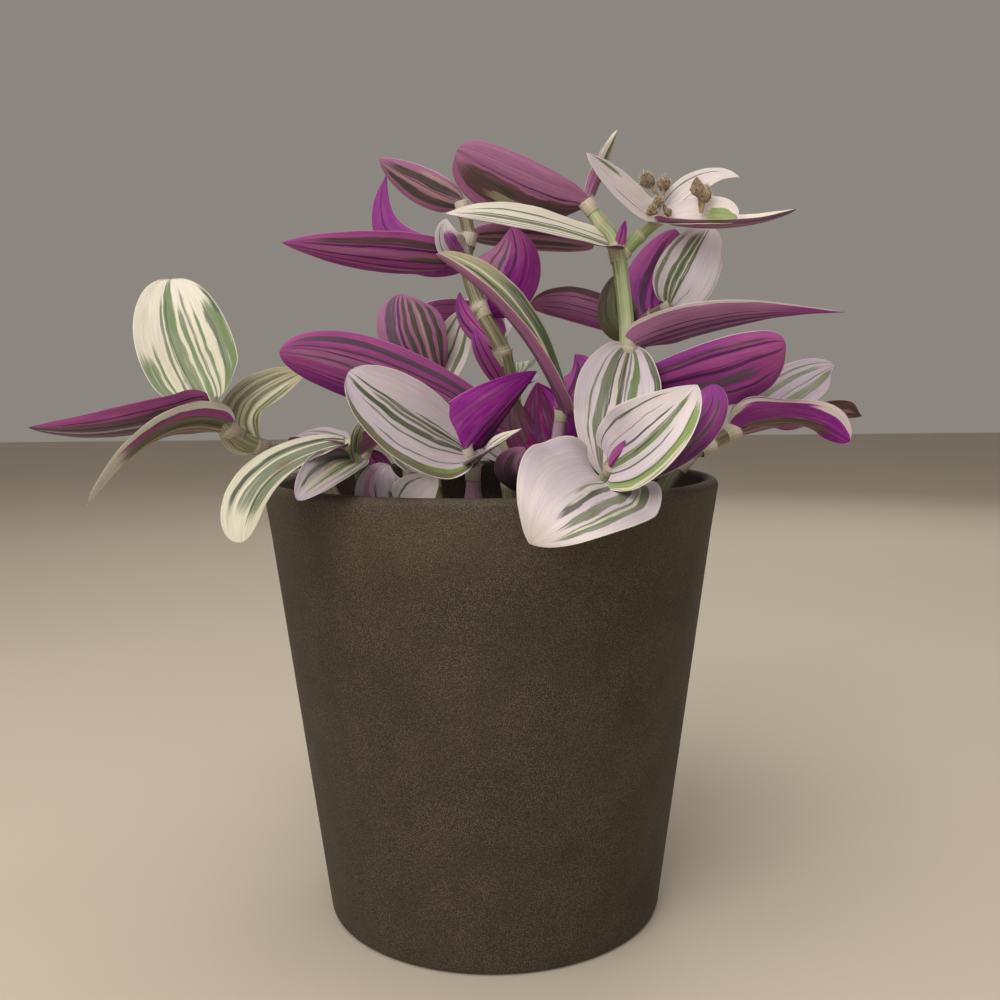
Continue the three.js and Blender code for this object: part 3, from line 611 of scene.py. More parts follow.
def leafMaterial(name, side, look):
    build, marks = leafBuild, leafMarks[side]
    material, tree, shader = newMaterial(
        name + side.capitalize(), marks["roughness"], marks["gloss"])
    along, across, seed = split(attribute(tree, "leafPlace", "Vector"))

    def streaks(length, width, offset, detail=2.0, roughness=0.6):
        place = vectorOf(tree, along * length, across * width, seed + offset)
        return noise(tree, place, 1.0, detail, roughness)

    swayLength, swayWidth = build["swayStretch"]
    wander = noise(tree, vectorOf(tree, along * swayLength, across * swayWidth, seed), 1.0)
    fibre = streaks(build["fibreStretch"], build["fibres"], 3.0)
    vein = streaks(build["veinStretch"], build["veins"], 5.0)
    fleck = streaks(build["fleckStretch"], build["flecks"], 9.0, detail=3.0)
    blotched = vectorOf(tree, along, across, seed + 7.0) * build["blotches"]
    blotch = noise(tree, blotched, 1.0, 3.0)
    swayed = across + (wander - 0.5) * build["sway"]
    nearBase, nearTip = (palette[colour] for colour in look[side])
    colour = mixColour(tree, smooth(along * 1.4 - 0.4 + (wander - 0.5)), nearBase, nearTip)
    for line in look["stripes"]:
        painted = stripeMask(along, swayed, blotch, fibre, line) * marks["stripes"]
        colour = mixColour(tree, painted, colour, palette[line[side]])

    # the flush is a real tint above and painted sheen below; the pale flecks are real flecks above
    # and painted sheen streaks below
    tintAndSheen = held(blotch * 3.0 - 1.4) * marks["tintAndSheenShare"]
    colour = mixColour(tree, tintAndSheen, colour, palette[marks["tintAndSheen"]])
    pale = smooth(fleck * 9.0 - 5.0) * marks["fleckAndSheenShare"]
    colour = mixColour(tree, pale, colour, palette[marks["pale"]])
    thread = smooth(3.3 - fleck * 9.0) * smooth(blotch * 6.0 - 2.4) * (1.0 - along * 0.5)
    colour = mixColour(tree, thread * marks["darkShare"], colour, palette[marks["dark"]])
    off = calc(tree, "ABSOLUTE", across)
    rib = 1.0 - smooth(off / build["ribHalf"] - 0.3)
    colour = mixColour(tree, rib * (1.0 - along) * build["ribShare"], colour, palette[marks["rib"]])
    edge = smooth((off - build["margin"]) / build["soft"])
    colour = mixColour(tree, edge * build["marginShare"], colour, palette[look["edge"]])
    depth = marks["veinDepth"] * 2.0
    shade = (fibre + vein) * depth + (1.0 - depth)
    shade = shade * ((blotch + fleck - 1.0) * marks["mottling"] + 1.0)
    colour = mixColour(tree, 1.0, colour, vectorOf(tree, shade, shade, shade), "MULTIPLY")
    grain = noise(tree, objectPlace(tree), build["grain"], 1.0)
    finishSurface(tree, shader, colour, marks["roughness"] + grain * 0.2,
                  fibre * 0.6 + vein * 0.5 + grain * 0.3, build["relief"], 0.9)
    return material


leafSkins = {}


def skinOf(look, side):  # made once for each look
    if (look, side) not in leafSkins:
        leafSkins[look, side] = leafMaterial(look, side, looks[look])
    return leafSkins[look, side]


bladeBuild = {
    "rows": 34, "columns": 33, "thickness": 0.5 * mm, "tipHalfWidth": 0.12 * mm,
    "claspReach": 0.2, "claspAngle": math.radians(62), "waveRate": 9.0, "waveOffset": 2.0,
    "creaseDepth": 0.3 * mm, "creaseWidth": 0.9 * mm, "pleatDepth": 0.07 * mm, "pleats": 14.0,
    "edgeRipple": 0.8 * mm, "weld": 0.001 * mm, "gather": 0.75, "firstWidth": 0.02,
    "waveStart": 0.3, "waveFade": 0.7, "flutterRate": 6.0, "pleatGrowth": 5.0, "closing": 20.0,
}


def leafTree(anySkin):  # a blade along its midrib, folded to its cup, closed at the margin
    build = bladeBuild
    tree, given = newTree("leafBlade", {
        "Base": (0.0, 0.0, 0.0), "Mid": (0.0, 0.0, 0.0), "Tip": (0.0, 0.0, 0.0),
        "Face": (0.0, 0.0, 1.0), "Width": 0.02, "Cup": 0.4, "Twist": 0.0, "Near Half": 1.0,
        "Far Half": 1.0, "Base Bluntness": 0.5, "Tip Bluntness": 0.85, "Wave": 0.0, "Seed": 0.0,
        "Upper Skin": anySkin, "Under Skin": anySkin,
    })
    grid = add(tree, "GeometryNodeMeshGrid", {
        "Size X": 1.0, "Size Y": 2.0, "Vertices X": build["rows"], "Vertices Y": build["columns"]})
    x, y = split(add(tree, "GeometryNodeInputPosition"))[:2]
    u = held(0.5 - cosine((x + 0.5) * math.pi) * 0.5)  # along the leaf, closer at both ends
    s = y - sine(y * (2 * math.pi)) * (build["gather"] / (2 * math.pi))  # across, from -1 to 1

    base, tip = given["Base"], given["Tip"]
    control = given["Mid"] * 2.0 - (base + tip) * 0.5
    back = 1.0 - u
    spine = base * (back * back) + control * (u * back * 2.0) + tip * (u * u)
    forward = unit((control - base) * back + (tip - control) * u)
    face = given["Face"]
    upright = unit(face - forward * vectorCalc(tree, "DOT_PRODUCT", face, forward))
    turn = given["Twist"] * u * -1.0
    sideways = vectorCalc(tree, "CROSS_PRODUCT", forward, upright)
    up = upright * cosine(turn) + sideways * sine(turn)
    side = vectorCalc(tree, "CROSS_PRODUCT", forward, up)

    blunt, sharp = given["Base Bluntness"], given["Tip Bluntness"]

    def outline(share):
        opened = calc(tree, "POWER", share + build["firstWidth"], blunt)
        return opened * calc(tree, "POWER", 1.0 - share, sharp)

    spread = given["Width"] * 0.5 * outline(u) / outline(blunt / (blunt + sharp))
    clasp = 1.0 - smooth(u / build["claspReach"])
    bend = given["Cup"] + (build["claspAngle"] - given["Cup"]) * clasp
    near = calc(tree, "LESS_THAN", s, 0.0)
    share = given["Far Half"] + (given["Near Half"] - given["Far Half"]) * near
    halfWidth = calc(tree, "MAXIMUM", spread * share, build["tipHalfWidth"])
    begun = smooth(u / build["waveStart"])
    swing = sine(u * build["waveRate"] + near * build["waveOffset"]) * begun
    calmed = 1.0 - smooth(u / build["waveFade"] - 0.4) * 0.6
    wave = given["Wave"] * s * s * swing * calmed
    place = vectorOf(tree, u * build["flutterRate"], s, given["Seed"])
    ripple = (noise(tree, place, 1.0, 1.0) - 0.5) * s * s * begun * build["edgeRipple"]
    crease = bell(s * halfWidth / build["creaseWidth"]) * (1.0 - u) * build["creaseDepth"]
    pleat = cosine(s * build["pleats"]) * (1.0 - s * s) * smooth(u * build["pleatGrowth"])
    pleat = pleat * build["pleatDepth"]
    angle = bend * s
    lift = halfWidth * (1.0 - cosine(angle)) / bend + wave + ripple - crease + pleat
    centre = spine + side * (halfWidth * sine(angle) / bend) + up * lift
    normal = up * cosine(angle) - side * sine(angle)
    fullness = calc(tree, "SQRT", held(1.0 - s * s))
    ends = build["closing"]
    thick = fullness * held(u * ends) * held(back * ends) * (build["thickness"] / 2)

    leafPlace = vectorOf(tree, u, s, given["Seed"])
    marked = storeField(tree, grid, "leafPlace", leafPlace, "FLOAT_VECTOR")
    above = moved(tree, marked, Position=centre + normal * thick)
    above = add(tree, "GeometryNodeFlipFaces", {"Mesh": above})
    below = moved(tree, marked, Position=centre + normal * (thick * -1.0))
    both = together(tree, skinned(tree, above, given["Upper Skin"]),
                    skinned(tree, below, given["Under Skin"]))
    endTree(tree, add(tree, "GeometryNodeMergeByDistance", {
        "Geometry": both, "Distance": build["weld"]}))
    return tree


# Stems: a jointed stem through its nodes, with a sheath and a fringe of hairs at each leaf

stemBuild = {
    "rootDepth": 22, "taper": 0.72, "swelling": 0.22, "swellingReach": 0.13, "sides": 18,
    "stepsPerNode": 9, "smoothing": 12, "streaks": 5.0, "streakLength": 0.03, "patches": 60.0,
    "grain": 1400.0, "relief": 0.15 * mm,
}


def stemTree(skin):
    build = stemBuild
    tree, given = newTree("jointedStem", {
        "Radius": 0.0025, "Taper": build["taper"], "Swelling": build["swelling"], "Last": 4.0,
        "Steps": 40, "Skin": skin,
    })
    index = add(tree, "GeometryNodeInputIndex")
    marked = storeField(tree, given["Geometry"], "nodeNumber", index)
    curve = add(tree, "GeometryNodeMeshToCurve", {"Mesh": marked})
    bent = add(tree, "GeometryNodeCurveSplineType", {"Curve": curve}, spline_type="CATMULL_ROM")
    fine = add(tree, "GeometryNodeSetSplineResolution", {
        "Geometry": bent, "Resolution": build["smoothing"]})
    steps = add(tree, "GeometryNodeResampleCurve", {"Curve": fine, "Count": given["Steps"]})
    number = readField(tree, "nodeNumber")
    joint = bell((number - calc(tree, "ROUND", number)) / build["swellingReach"])
    slimmer = 1.0 - (1.0 - given["Taper"]) * number / given["Last"]
    radius = given["Radius"] * slimmer * (joint * given["Swelling"] + 1.0)
    length = add(tree, "GeometryNodeSplineParameter", output="Length")
    ringed = storeField(tree, steps, "stemAlong", length / mm)
    ringed = storeField(tree, ringed, "stemJoint", joint)
    ringed = storeField(tree, ringed, "stemRadius", radius)
    section = add(tree, "GeometryNodeCurvePrimitiveCircle", {
        "Resolution": build["sides"], "Radius": 1.0})
    spot = add(tree, "GeometryNodeInputPosition")
    section = storeField(tree, section, "stemRound", spot, "FLOAT_VECTOR")
    tube = add(tree, "GeometryNodeCurveToMesh", {
        "Curve": ringed, "Profile Curve": section, "Scale": readField(tree, "stemRadius"),
        "Fill Caps": True})
    endTree(tree, skinned(tree, tube, given["Skin"]))
    return tree


sheathBuild = {
    "low": -1.75, "height": 2.05, "flare": 0.2, "wall": 0.05, "bulge": 0.035,
    "bulgeFalloff": 60.0, "inside": 1.0, "around": 26, "roundWall": 14, "ragged": 0.3,
    "fit": 1.05, "weld": 0.001, "hairs": 34, "hairLength": 0.5, "hairRadius": 0.02,
    "hairLow": 0.1, "leastLean": (-0.5, -0.5, 0.6), "mostLean": (0.5, 0.5, 1.4), "leanSeed": 5,
    "ribs": 9.0, "ribStretch": 0.5, "relief": 0.25 * mm,
}  # as shares of the stem's radius


def sheathTree(skin, hairSkin):
    build = sheathBuild
    tree, given = newTree("leafSheaths", {"Skin": skin, "Hair Skin": hairSkin})
    spot = add(tree, "GeometryNodeInputPosition")
    x, y = split(spot)[:2]
    turn = 2 * math.pi
    grid = add(tree, "GeometryNodeMeshGrid", {
        "Size X": 1.0, "Size Y": 1.0, "Vertices X": build["around"] + 1,
        "Vertices Y": build["roundWall"] + 1})
    height = sine(y * turn) * 0.5 + 0.5
    ring = calc(tree, "EXPONENT", height * height * -build["bulgeFalloff"]) * build["bulge"]
    wall = cosine(y * turn) * (build["wall"] / 2) + build["inside"]
    radius = wall + height * height * build["flare"] + ring
    xs, ys = cosine(x * turn), sine(x * turn)
    notch = noise(tree, vectorOf(tree, xs, ys, 0.0), 1.6)
    top = height * (1.0 + (notch - 0.5) * height * build["ragged"]) * build["height"]
    stemRound = vectorOf(tree, xs, ys, height)
    marked = storeField(tree, grid, "stemRound", stemRound, "FLOAT_VECTOR")
    shaped = moved(tree, marked,
                   Position=vectorOf(tree, xs * radius, ys * radius, top + build["low"]))
    closed = add(tree, "GeometryNodeMergeByDistance", {
        "Geometry": shaped, "Distance": build["weld"]})
    sheath = skinned(tree, closed, given["Skin"])

    lip = add(tree, "GeometryNodeMeshCircle", {
        "Vertices": build["hairs"], "Radius": build["inside"] + build["flare"]})
    lip = moved(tree, lip, Offset=(0.0, 0.0, build["low"] + build["height"] - build["hairLow"]))
    hair = hairShape(tree, build["hairRadius"], build["hairLength"])
    lean = randomVector(tree, build["leastLean"], build["mostLean"], build["leanSeed"])
    hairs = repeated(tree, lip, hair, aimed(tree, spot * 0.5 + lean))
    fringe = skinned(tree, hairs, given["Hair Skin"])
    endTree(tree, onPoints(tree, given, together(tree, sheath, fringe)))
    return tree


def pointMesh(name, points, inRow=False, **values):  # points, with a number or a vector for each
    mesh = bpy.data.meshes.new(name)
    edges = [(i, i + 1) for i in range(len(points) - 1)] if inRow else []
    mesh.from_pydata([Vector(point) * mm for point in points], edges, [])
    for label, entries in values.items():
        isVector = isinstance(entries[0], Vector)
        layer = mesh.attributes.new(label, "FLOAT_VECTOR" if isVector else "FLOAT", "POINT")
        flat = [number for entry in entries for number in (entry if isVector else (entry,))]
        layer.data.foreach_set("vector" if isVector else "value", flat)
    return mesh


def leaf(node, mid, tip, width, face, look, cup=25, twist=0, halves=(1, 1), blunt=(0.5, 0.85),
         wave=0):
    return {"node": node, "mid": mid, "tip": tip, "width": width, "face": face, "look": look,
            "cup": cup, "twist": twist, "halves": halves, "blunt": blunt, "wave": wave}


def bladeMesh(tree, base, blade, seed):
    nearHalf, farHalf = blade["halves"]
    baseBluntness, tipBluntness = blade["blunt"]
    return grown(tree, {
        "Base": Vector(base) * mm, "Mid": Vector(blade["mid"]) * mm,
        "Tip": Vector(blade["tip"]) * mm, "Face": Vector(blade["face"]),
        "Width": blade["width"] * mm, "Cup": math.radians(blade["cup"]),
        "Twist": math.radians(blade["twist"]), "Near Half": float(nearHalf),
        "Far Half": float(farHalf), "Base Bluntness": baseBluntness,
        "Tip Bluntness": tipBluntness, "Wave": blade["wave"] * mm, "Seed": seed,
        "Upper Skin": skinOf(blade["look"], "upper"), "Under Skin": skinOf(blade["look"], "under"),
    })


def stemMesh(tree, points, radius, skin, taper=stemBuild["taper"], swelling=stemBuild["swelling"]):
    last = len(points) - 1
    return grown(tree, {
        "Radius": radius * mm, "Taper": taper, "Swelling": swelling, "Last": float(last),
        "Steps": last * stemBuild["stepsPerNode"] + 1, "Skin": skin,
    }, pointMesh("stem", points, inRow=True))


seedSteps = {"shoot": 11.3, "leaf": 1.7, "branch": 50}  # so that no two leaves are marked alike


def shootMeshes(shoot, trees, skins, seed):
    nodes = [Vector(node) for node in shoot["nodes"]]
    rooted = nodes[0].z < soilSizes["level"]
    root = [nodes[0] - Vector((0, 0, stemBuild["rootDepth"]))] if rooted else []
    whole = root + nodes
    meshes = [stemMesh(trees["stem"], whole, shoot["radius"], skins[shoot.get("stem", "green")])]
    leafy = sorted({blade["node"] for blade in shoot["leaves"]})
    growth = [(nodes[i] - whole[i - 1 + len(root)]).normalized() for i in leafy]
    loss = (1 - stemBuild["taper"]) / (len(whole) - 1)  # of thickness, from one node to the next
    sizes = [shoot["radius"] * (1 - loss * (i + len(root))) * sheathBuild["fit"] * mm
             for i in leafy]
    start = pointMesh("leafNodes", [nodes[i] for i in leafy], growth=growth, size=sizes)
    sheathSkin = skins[shoot.get("sheath", "paleSheath")]
    meshes.append(grown(trees["sheath"], {"Skin": sheathSkin, "Hair Skin": skins["hair"]}, start))
    for number, blade in enumerate(shoot["leaves"]):
        leafSeed = seed + number * seedSteps["leaf"]
        meshes.append(bladeMesh(trees["blade"], nodes[blade["node"]], blade, leafSeed))
    if "branch" in shoot:
        meshes += shootMeshes(shoot["branch"], trees, skins, seed + seedSteps["branch"])
    return meshes


def stemMaterial(name, low, high, stripeColour, jointColour):
    build = stemBuild
    material, tree, shader = newMaterial(name, 0.45, 0.45)
    around = attribute(tree, "stemRound", "Vector") * build["streaks"]
    along = attribute(tree, "stemAlong") * build["streakLength"]
    joint = attribute(tree, "stemJoint")
    streak = noise(tree, around + vectorOf(tree, 0.0, 0.0, 1.0) * along, 1.0, 3.0, 0.7)
    patch = noise(tree, objectPlace(tree), build["patches"], 2.0)
    colour = mixColour(tree, smooth(patch * 2.4 - 0.7), palette[low], palette[high])
    colour = mixColour(tree, smooth(streak * 5.0 - 2.2) * 0.6, colour, palette[stripeColour])
    colour = mixColour(tree, smooth(joint * 1.6 - 0.6) * 0.8, colour, palette[jointColour])
    grain = noise(tree, objectPlace(tree), build["grain"], 1.0)
    finishSurface(tree, shader, colour, 0.36 + grain * 0.2, streak + grain * 0.3,
                  build["relief"], 0.8)
    return material


def sheathMaterial(name, low, high, ribs):  # a papery ring at its foot, then ribs
    build = sheathBuild
    material, tree, shader = newMaterial(name, 0.5, 0.4)
    around, turned, height = split(attribute(tree, "stemRound", "Vector"))
    place = vectorOf(tree, around * build["ribs"], turned * build["ribs"],
                     height * build["ribStretch"])
    rib = noise(tree, place, 1.0, 3.0, 0.7)
    colour = mixColour(tree, smooth(height * 1.6 - 0.2), palette[low], palette[high])
    colour = mixColour(tree, smooth(rib * 6.0 - 2.6) * 0.5, colour, palette[ribs])
    colour = mixColour(tree, smooth(3.0 - rib * 7.0) * 0.6, colour, palette[high])
    ring = 1.0 - smooth((height - 0.05) / 0.1)
    colour = mixColour(tree, ring * 0.7, colour, palette["sheathTan"])
    finishSurface(tree, shader, colour, None, rib, build["relief"], 0.9)
    return material


def plantSkins():
    return {
        "green": stemMaterial("stemGreen", "stemGreen", "stemPale", "bone", "sheathTan"),
        "olive": stemMaterial("stemOlive", "olive", "brown", "straw", "sheathTan"),
        "purple": stemMaterial("stemPurple", "mauve", "greyLilac", "lilac", "rose"),
        "paleSheath": sheathMaterial("paleSheath", "stemPale", "bone", "rose"),
        "oliveSheath": sheathMaterial("oliveSheath", "olive", "straw", "mauve"),
        "hair": newMaterial("paleHair", 0.6, 0.3, palette["cream"])[0],
    }


# The shoots, as they grow from the soil

shoots = {
    "shoot_left_trailing": {
        "stem": "olive",
        "sheath": "oliveSheath",
        "radius": 2.8,
        "nodes": [(-44, -8, 118), (-53, -9, 138), (-61, -12, 144), (-69, -18, 147),
                  (-76, -22, 152), (-81, -24, 160)],
        "leaves": [
            leaf(3, (-72, -14, 158), (-57, -4, 169), 19, (-0.5, -0.85, 0.15),
                 look="straw", cup=32, blunt=(0.45, 0.6)),
            leaf(4, (-91, -38, 152), (-106, -56, 134), 19, (-0.2, 0.75, 0.65),
                 look="drooping", twist=45, blunt=(0.4, 0.5)),
            leaf(5, (-104, -34, 153), (-126, -42, 154), 22, (0, 0.46, 0.9), look="outstretched"),
            leaf(5, (-91, -16, 179), (-96, -6, 197), 29.5, (0.1, -0.85, 0.4),
                 look="uprightCream", halves=(0.92, 1), blunt=(0.3, 0.45)),
        ],
    },
    "shoot_front_left": {
        "radius": 1.9,
        "nodes": [(-34, -34, 118), (-35, -37, 132), (-37, -42, 144), (-39, -46, 149)],
        "leaves": [
            leaf(3, (-57, -60, 141), (-62, -72, 126), 16.9, (-0.3, -0.6, 0.7),
                 look="drooped", cup=40, blunt=(0.5, 0.42)),
            leaf(2, (-42, -59, 142), (-49, -67, 136), 14, (0.1, -0.7, 0.7),
                 look="greyLines", cup=45, blunt=(0.4, 0.6)),
            leaf(2, (-36, -49, 151), (-33, -50, 156), 4, (0.5, -0.8, 0.2), look="smallGreen"),
            leaf(3, (-50, -38, 151), (-57, -32, 149), 10, (0, -0.3, 0.95), look="pinkBrown"),
        ],
    },
    "shoot_rim_seedling": {
        "stem": "purple",
        "radius": 1.6,
        "nodes": [(-24, -42, 118), (-24, -44, 126), (-24, -46, 131)],
        "leaves": [
            leaf(1, (-29, -45.5, 136.5), (-27.5, -45, 143), 18, (0, -0.95, 0.3), look="seedling"),
            leaf(2, (-19, -52, 136), (-14, -54, 141), 14, (0, -0.95, 0.3), look="folded", cup=50),
        ],
    },
    "shoot_front": {
        "stem": "purple",
        "radius": 2.5,
        "nodes": [(-5, -38, 118), (-5, -40, 133), (-5, -42, 142), (-7, -43, 147)],
        "leaves": [
            leaf(3, (-22, -56, 157), (-36, -62, 168), 27, (0.4, -0.8, 0.45),
                 look="lilacOlive", cup=30, halves=(1.25, 0.75), blunt=(0.45, 0.55)),
            leaf(3, (1, -42, 156), (13, -37, 168), 19, (-0.3, 0.85, 0.4),
                 look="violetUpright", cup=30, halves=(0.57, 1.32), blunt=(0.22, 0.8)),
            leaf(2, (-1, -54, 147), (8, -57, 153), 9, (-0.3, -0.4, 0.9),
                 look="whiteGreen", cup=40),
        ],
    },
    "shoot_centre": {
        "stem": "olive",
        "radius": 2.8,
        "nodes": [(6, -6, 118), (6, -6, 134), (6, -7, 148), (6, -8, 161), (4, -8, 174),
                  (-3, -4, 188), (-7, 0, 202), (-6, 2, 210), (-8, 4, 220)],
        "leaves": [
            leaf(2, (-33, -22, 167), (-59, -32, 174), 22, (0.15, 0.95, 0.3),
                 look="magentaLong", blunt=(0.5, 0.6)),
            leaf(3, (-2, -18, 173), (-4, -18, 181), 6, (0.3, 0.9, 0.2), look="vivid"),
            leaf(3, (8, 12, 166), (4, 26, 162), 16, (0, 0.3, 0.95), look="oneLine"),
            leaf(4, (-7, -3, 184), (-9, 2, 193), 8, (0.5, 0.8, 0.2), look="vivid"),
            leaf(5, (7, 0, 200), (7, 4, 213), 22, (-0.1, 0.95, 0.2),
                 look="vividHalf", blunt=(0.5, 0.8)),
            leaf(6, (-34, -12, 203), (-60, -18, 206), 17, (0.05, 0.7, 0.7), look="longDusky"),
            leaf(6, (-30, 5, 210), (-31.5, 8, 230), 12.9, (0.3, 0.95, 0.1),
                 look="oneLine", blunt=(0.4, 0.9)),
            leaf(6, (-12, -8, 207), (-12.5, -8, 214), 10, (0.2, -0.95, 0.1), look="violetHeart"),
            leaf(7, (13, 17, 211), (34, 18, 209), 16.9, (0, 0.5, 0.85),
                 look="pinkOlive", blunt=(0.5, 0.4)),
            leaf(8, (-21, 2, 225), (-33, 0, 233), 13, (0.2, 0.8, 0.5),
                 look="twoBands", blunt=(0.5, 0.7)),
        ],
    },
    "shoot_middle": {
        "stem": "purple",
        "radius": 2.3,
        "nodes": [(20, -28, 118), (20, -28, 133), (19, -31, 147), (20, -33, 157)],
        "leaves": [
            leaf(3, (6, -44, 182), (-14, -46, 199), 25, (0.6, -0.35, 0.7),
                 look="diagonal", cup=45, halves=(1.3, 0.92), blunt=(0.5, 0.52)),
            leaf(2, (17, -19, 154), (14, -14, 165), 21, (0, 1, 0.1), look="darkMagenta"),
            leaf(3, (27, -21, 166), (25, -17, 173), 11.9, (0.1, 1, 0.1), look="vivid"),
            leaf(1, (9, -20, 150), (8, -18, 161), 11, (0, 1, 0), look="brownRed"),
            leaf(1, (8, -47, 140), (9, -54, 148), 16.9, (0.2, 0.9, 0.3), look="duskyFold", cup=40),
        ],
    },
    "shoot_right_flowering": {
        "radius": 2.9,
        "nodes": [(35, -8, 118), (36, -8, 134), (39, -8, 150), (41, -8, 162), (42, -8, 175),
                  (39, -4, 205), (34, -3, 213), (30, -2, 219)],
        "leaves": [
            leaf(3, (66, -22, 169), (85, -26, 175), 25, (0.1, 0.85, 0.5),
                 look="duskyBands", halves=(1.35, 0.65), blunt=(0.5, 0.4)),
            leaf(4, (69, -20, 183), (101, -28, 184), 18, (0.1, 0.5, 0.85),
                 look="longPale", blunt=(0.5, 1.3)),
            leaf(4, (35, -35, 158), (31, -46, 139), 25, (0, -0.9, 0.4),
                 look="broadGreen", blunt=(0.6, 0.7)),
            leaf(5, (12, -22, 210), (-12, -30, 212), 20, (0, -0.58, 0.8), look="whiteLong"),
            leaf(7, (11, -7, 223.5), (-9, -9, 233.5), 23.5, (0.1, 0.75, 0.6),
                 look="patched", halves=(0.68, 1.32), blunt=(0.5, 0.33)),
            leaf(7, (35, 2, 231), (40, 4, 242), 6.5, (-0.6, 0.7, 0.3), look="greenTip"),
        ],
        "branch": {
            "radius": 2.2,
            "nodes": [(39, -4, 202), (46, -2, 209), (52, 0, 214)],
            "leaves": [
                leaf(2, (39, -8, 222.5), (29, -12, 232), 12.5, (0.3, -0.8, 0.5),
                     look="whiteBract"),
                leaf(2, (71, -14, 210), (89, -20, 214), 16.9, (0, -0.25, 1),
                     look="mauveBract", cup=42),
                leaf(2, (66, 6, 226.5), (77.5, 2, 227), 9, (0, -0.8, 0.6), look="folded"),
                leaf(2, (64, -13, 213.5), (72, -19, 211), 13, (0, -0.85, 0.5),
                     look="greenEdge", cup=40, blunt=(0.45, 0.5)),
                leaf(0, (40, -7, 208), (41, -8, 213), 4, (0, 1, 0.2), look="purpleBud", cup=60),
            ],
        },
    },
    "shoot_right_inner": {
        "stem": "olive",
        "radius": 2.2,
        "nodes": [(49, 18, 118), (49, 18, 132), (51, 16, 159), (48, 13, 181), (52, 10, 186),
                  (57, 6, 189)],
        "leaves": [
            leaf(3, (29, 17, 189), (13, 12, 190), 14, (0, 0.8, 0.6),
                 look="oliveOver", blunt=(0.5, 0.6)),
            leaf(3, (41, 11, 186), (41, 11, 199), 14, (0.2, 0.9, 0.2),
                 look="darkOlive", blunt=(0.5, 0.6)),
            leaf(4, (54, 20, 196), (61, 20, 214), 21, (0, 1, 0.1),
                 look="magentaStripe", blunt=(0.5, 0.6)),
            leaf(5, (62, 2, 199), (69, 4, 213), 20, (-0.1, -0.95, 0.2),
                 look="manyGreen", blunt=(0.45, 0.55)),
            leaf(2, (62, 32, 168), (74, 42, 166), 16, (0.2, 0.4, 0.9), look="duskyBands"),
        ],
    },
    "shoot_front_right": {
        "radius": 2.1,
        "nodes": [(27, -46, 118), (28, -46, 132), (30, -54, 139), (31, -59, 143)],
        "leaves": [
            leaf(3, (42, -68, 153), (53, -60, 164), 24, (-0.25, -0.88, 0.4),
                 look="midribGreen", cup=30, halves=(1, 0.92), blunt=(0.3, 0.8)),
            leaf(3, (35, -63, 148), (38, -64, 150), 5, (0, 0.9, 0.3), look="purpleBud"),
            leaf(2, (52, -50, 152), (59.5, -46, 164), 15, (0.5, 0.8, 0.2),
                 look="pinkEdge", blunt=(0.5, 0.5)),
            leaf(2, (18, -84, 138), (9, -86, 127), 33, (0, -0.85, 0.5),
                 look="curvedBands", cup=12, halves=(1.12, 1), blunt=(0.25, 0.75)),
        ],
    },
    "shoot_right_trailing": {
        "stem": "olive",
        "radius": 3,
        "nodes": [(49, -14, 118), (51, -13, 130), (59, -12, 142), (67, -10, 146), (75, -7, 150)],
        "leaves": [
            leaf(4, (98, 5, 163), (109, 4, 169), 20, (-0.3, -0.7, 0.6), look="greyBand"),
            leaf(4, (89, -22, 154), (104, -26, 147), 20, (0, 0.6, 0.8),
                 look="flipped", blunt=(0.5, 0.65), wave=2),
            leaf(3, (107, 22, 153), (125, 26, 153), 13, (0, 0.6, 0.8),
                 look="brownOlive", blunt=(0.5, 0.5)),
            leaf(2, (64, 8, 150), (70, 24, 149), 15, (0.1, 0.3, 0.95), look="longPale"),
        ],
    },
    "shoot_back_left": {
        "stem": "olive",
        "radius": 2.3,
        "nodes": [(-17, 20, 118), (-19, 20, 134), (-20, 13, 150), (-18, 9, 163)],
        "leaves": [
            leaf(3, (-26, 2, 180), (-27.5, 6, 193), 22, (0.1, 0.95, 0.1),
                 look="halfMauve", halves=(1.15, 0.85), blunt=(0.5, 0.45)),
            leaf(3, (-12, 12, 178), (-8, 15, 189), 13, (0.1, -0.95, 0.2), look="whiteGreen"),
            leaf(2, (-36, 34, 160), (-44, 52, 160), 20, (-0.4, 0.2, 0.9), look="midribGreen"),
            leaf(1, (-28, 37, 143), (-30, 50, 150), 16, (-0.4, 0.1, 0.9), look="duskyBands"),
        ],
    },
    "shoot_back_middle": {
        "radius": 2.6,
        "nodes": [(6, 30, 118), (7, 34, 134), (9, 38, 150), (8, 40, 166), (4, 38, 180)],
        "leaves": [
            leaf(4, (0, 46, 194), (2, 58, 203), 16.9, (0, -0.7, 0.7), look="magentaStripe"),
            leaf(4, (-16, 36, 186), (-36, 40, 180), 20, (-0.1, 0.6, 0.8), look="midribGreen"),
            leaf(3, (8, 62, 172), (8, 82, 165), 20, (0, 0.5, 0.85),
                 look="uprightCream", blunt=(0.5, 0.6)),
            leaf(2, (-8, 62, 158), (-18, 84, 154), 20, (-0.1, 0.5, 0.85), look="longDusky"),
            leaf(2, (28, 46, 160), (44, 54, 162), 16.9, (0.2, 0.5, 0.8), look="curvedBands"),
            leaf(1, (-6, 46, 143), (-18, 56, 146), 15, (-0.3, 0.3, 0.9), look="pinkEdge"),
        ],
    },
    "shoot_back_trailing": {
        "radius": 2.5,
        "nodes": [(-26, 44, 118), (-29, 50, 132), (-33, 59, 143), (-38, 68, 147), (-44, 78, 145),
                  (-49, 86, 138)],
        "leaves": [
            leaf(2, (-18, 76, 148), (-6, 90, 138), 20, (0, 0.5, 0.85), look="midribGreen"),
            leaf(3, (-54, 74, 138), (-70, 80, 126), 16.9, (-0.2, 0.4, 0.9), look="broadGreen"),
            leaf(4, (-34, 98, 140), (-30, 108, 120), 22, (0.2, 0.9, 0.4),
                 look="uprightCream", blunt=(0.5, 0.7)),
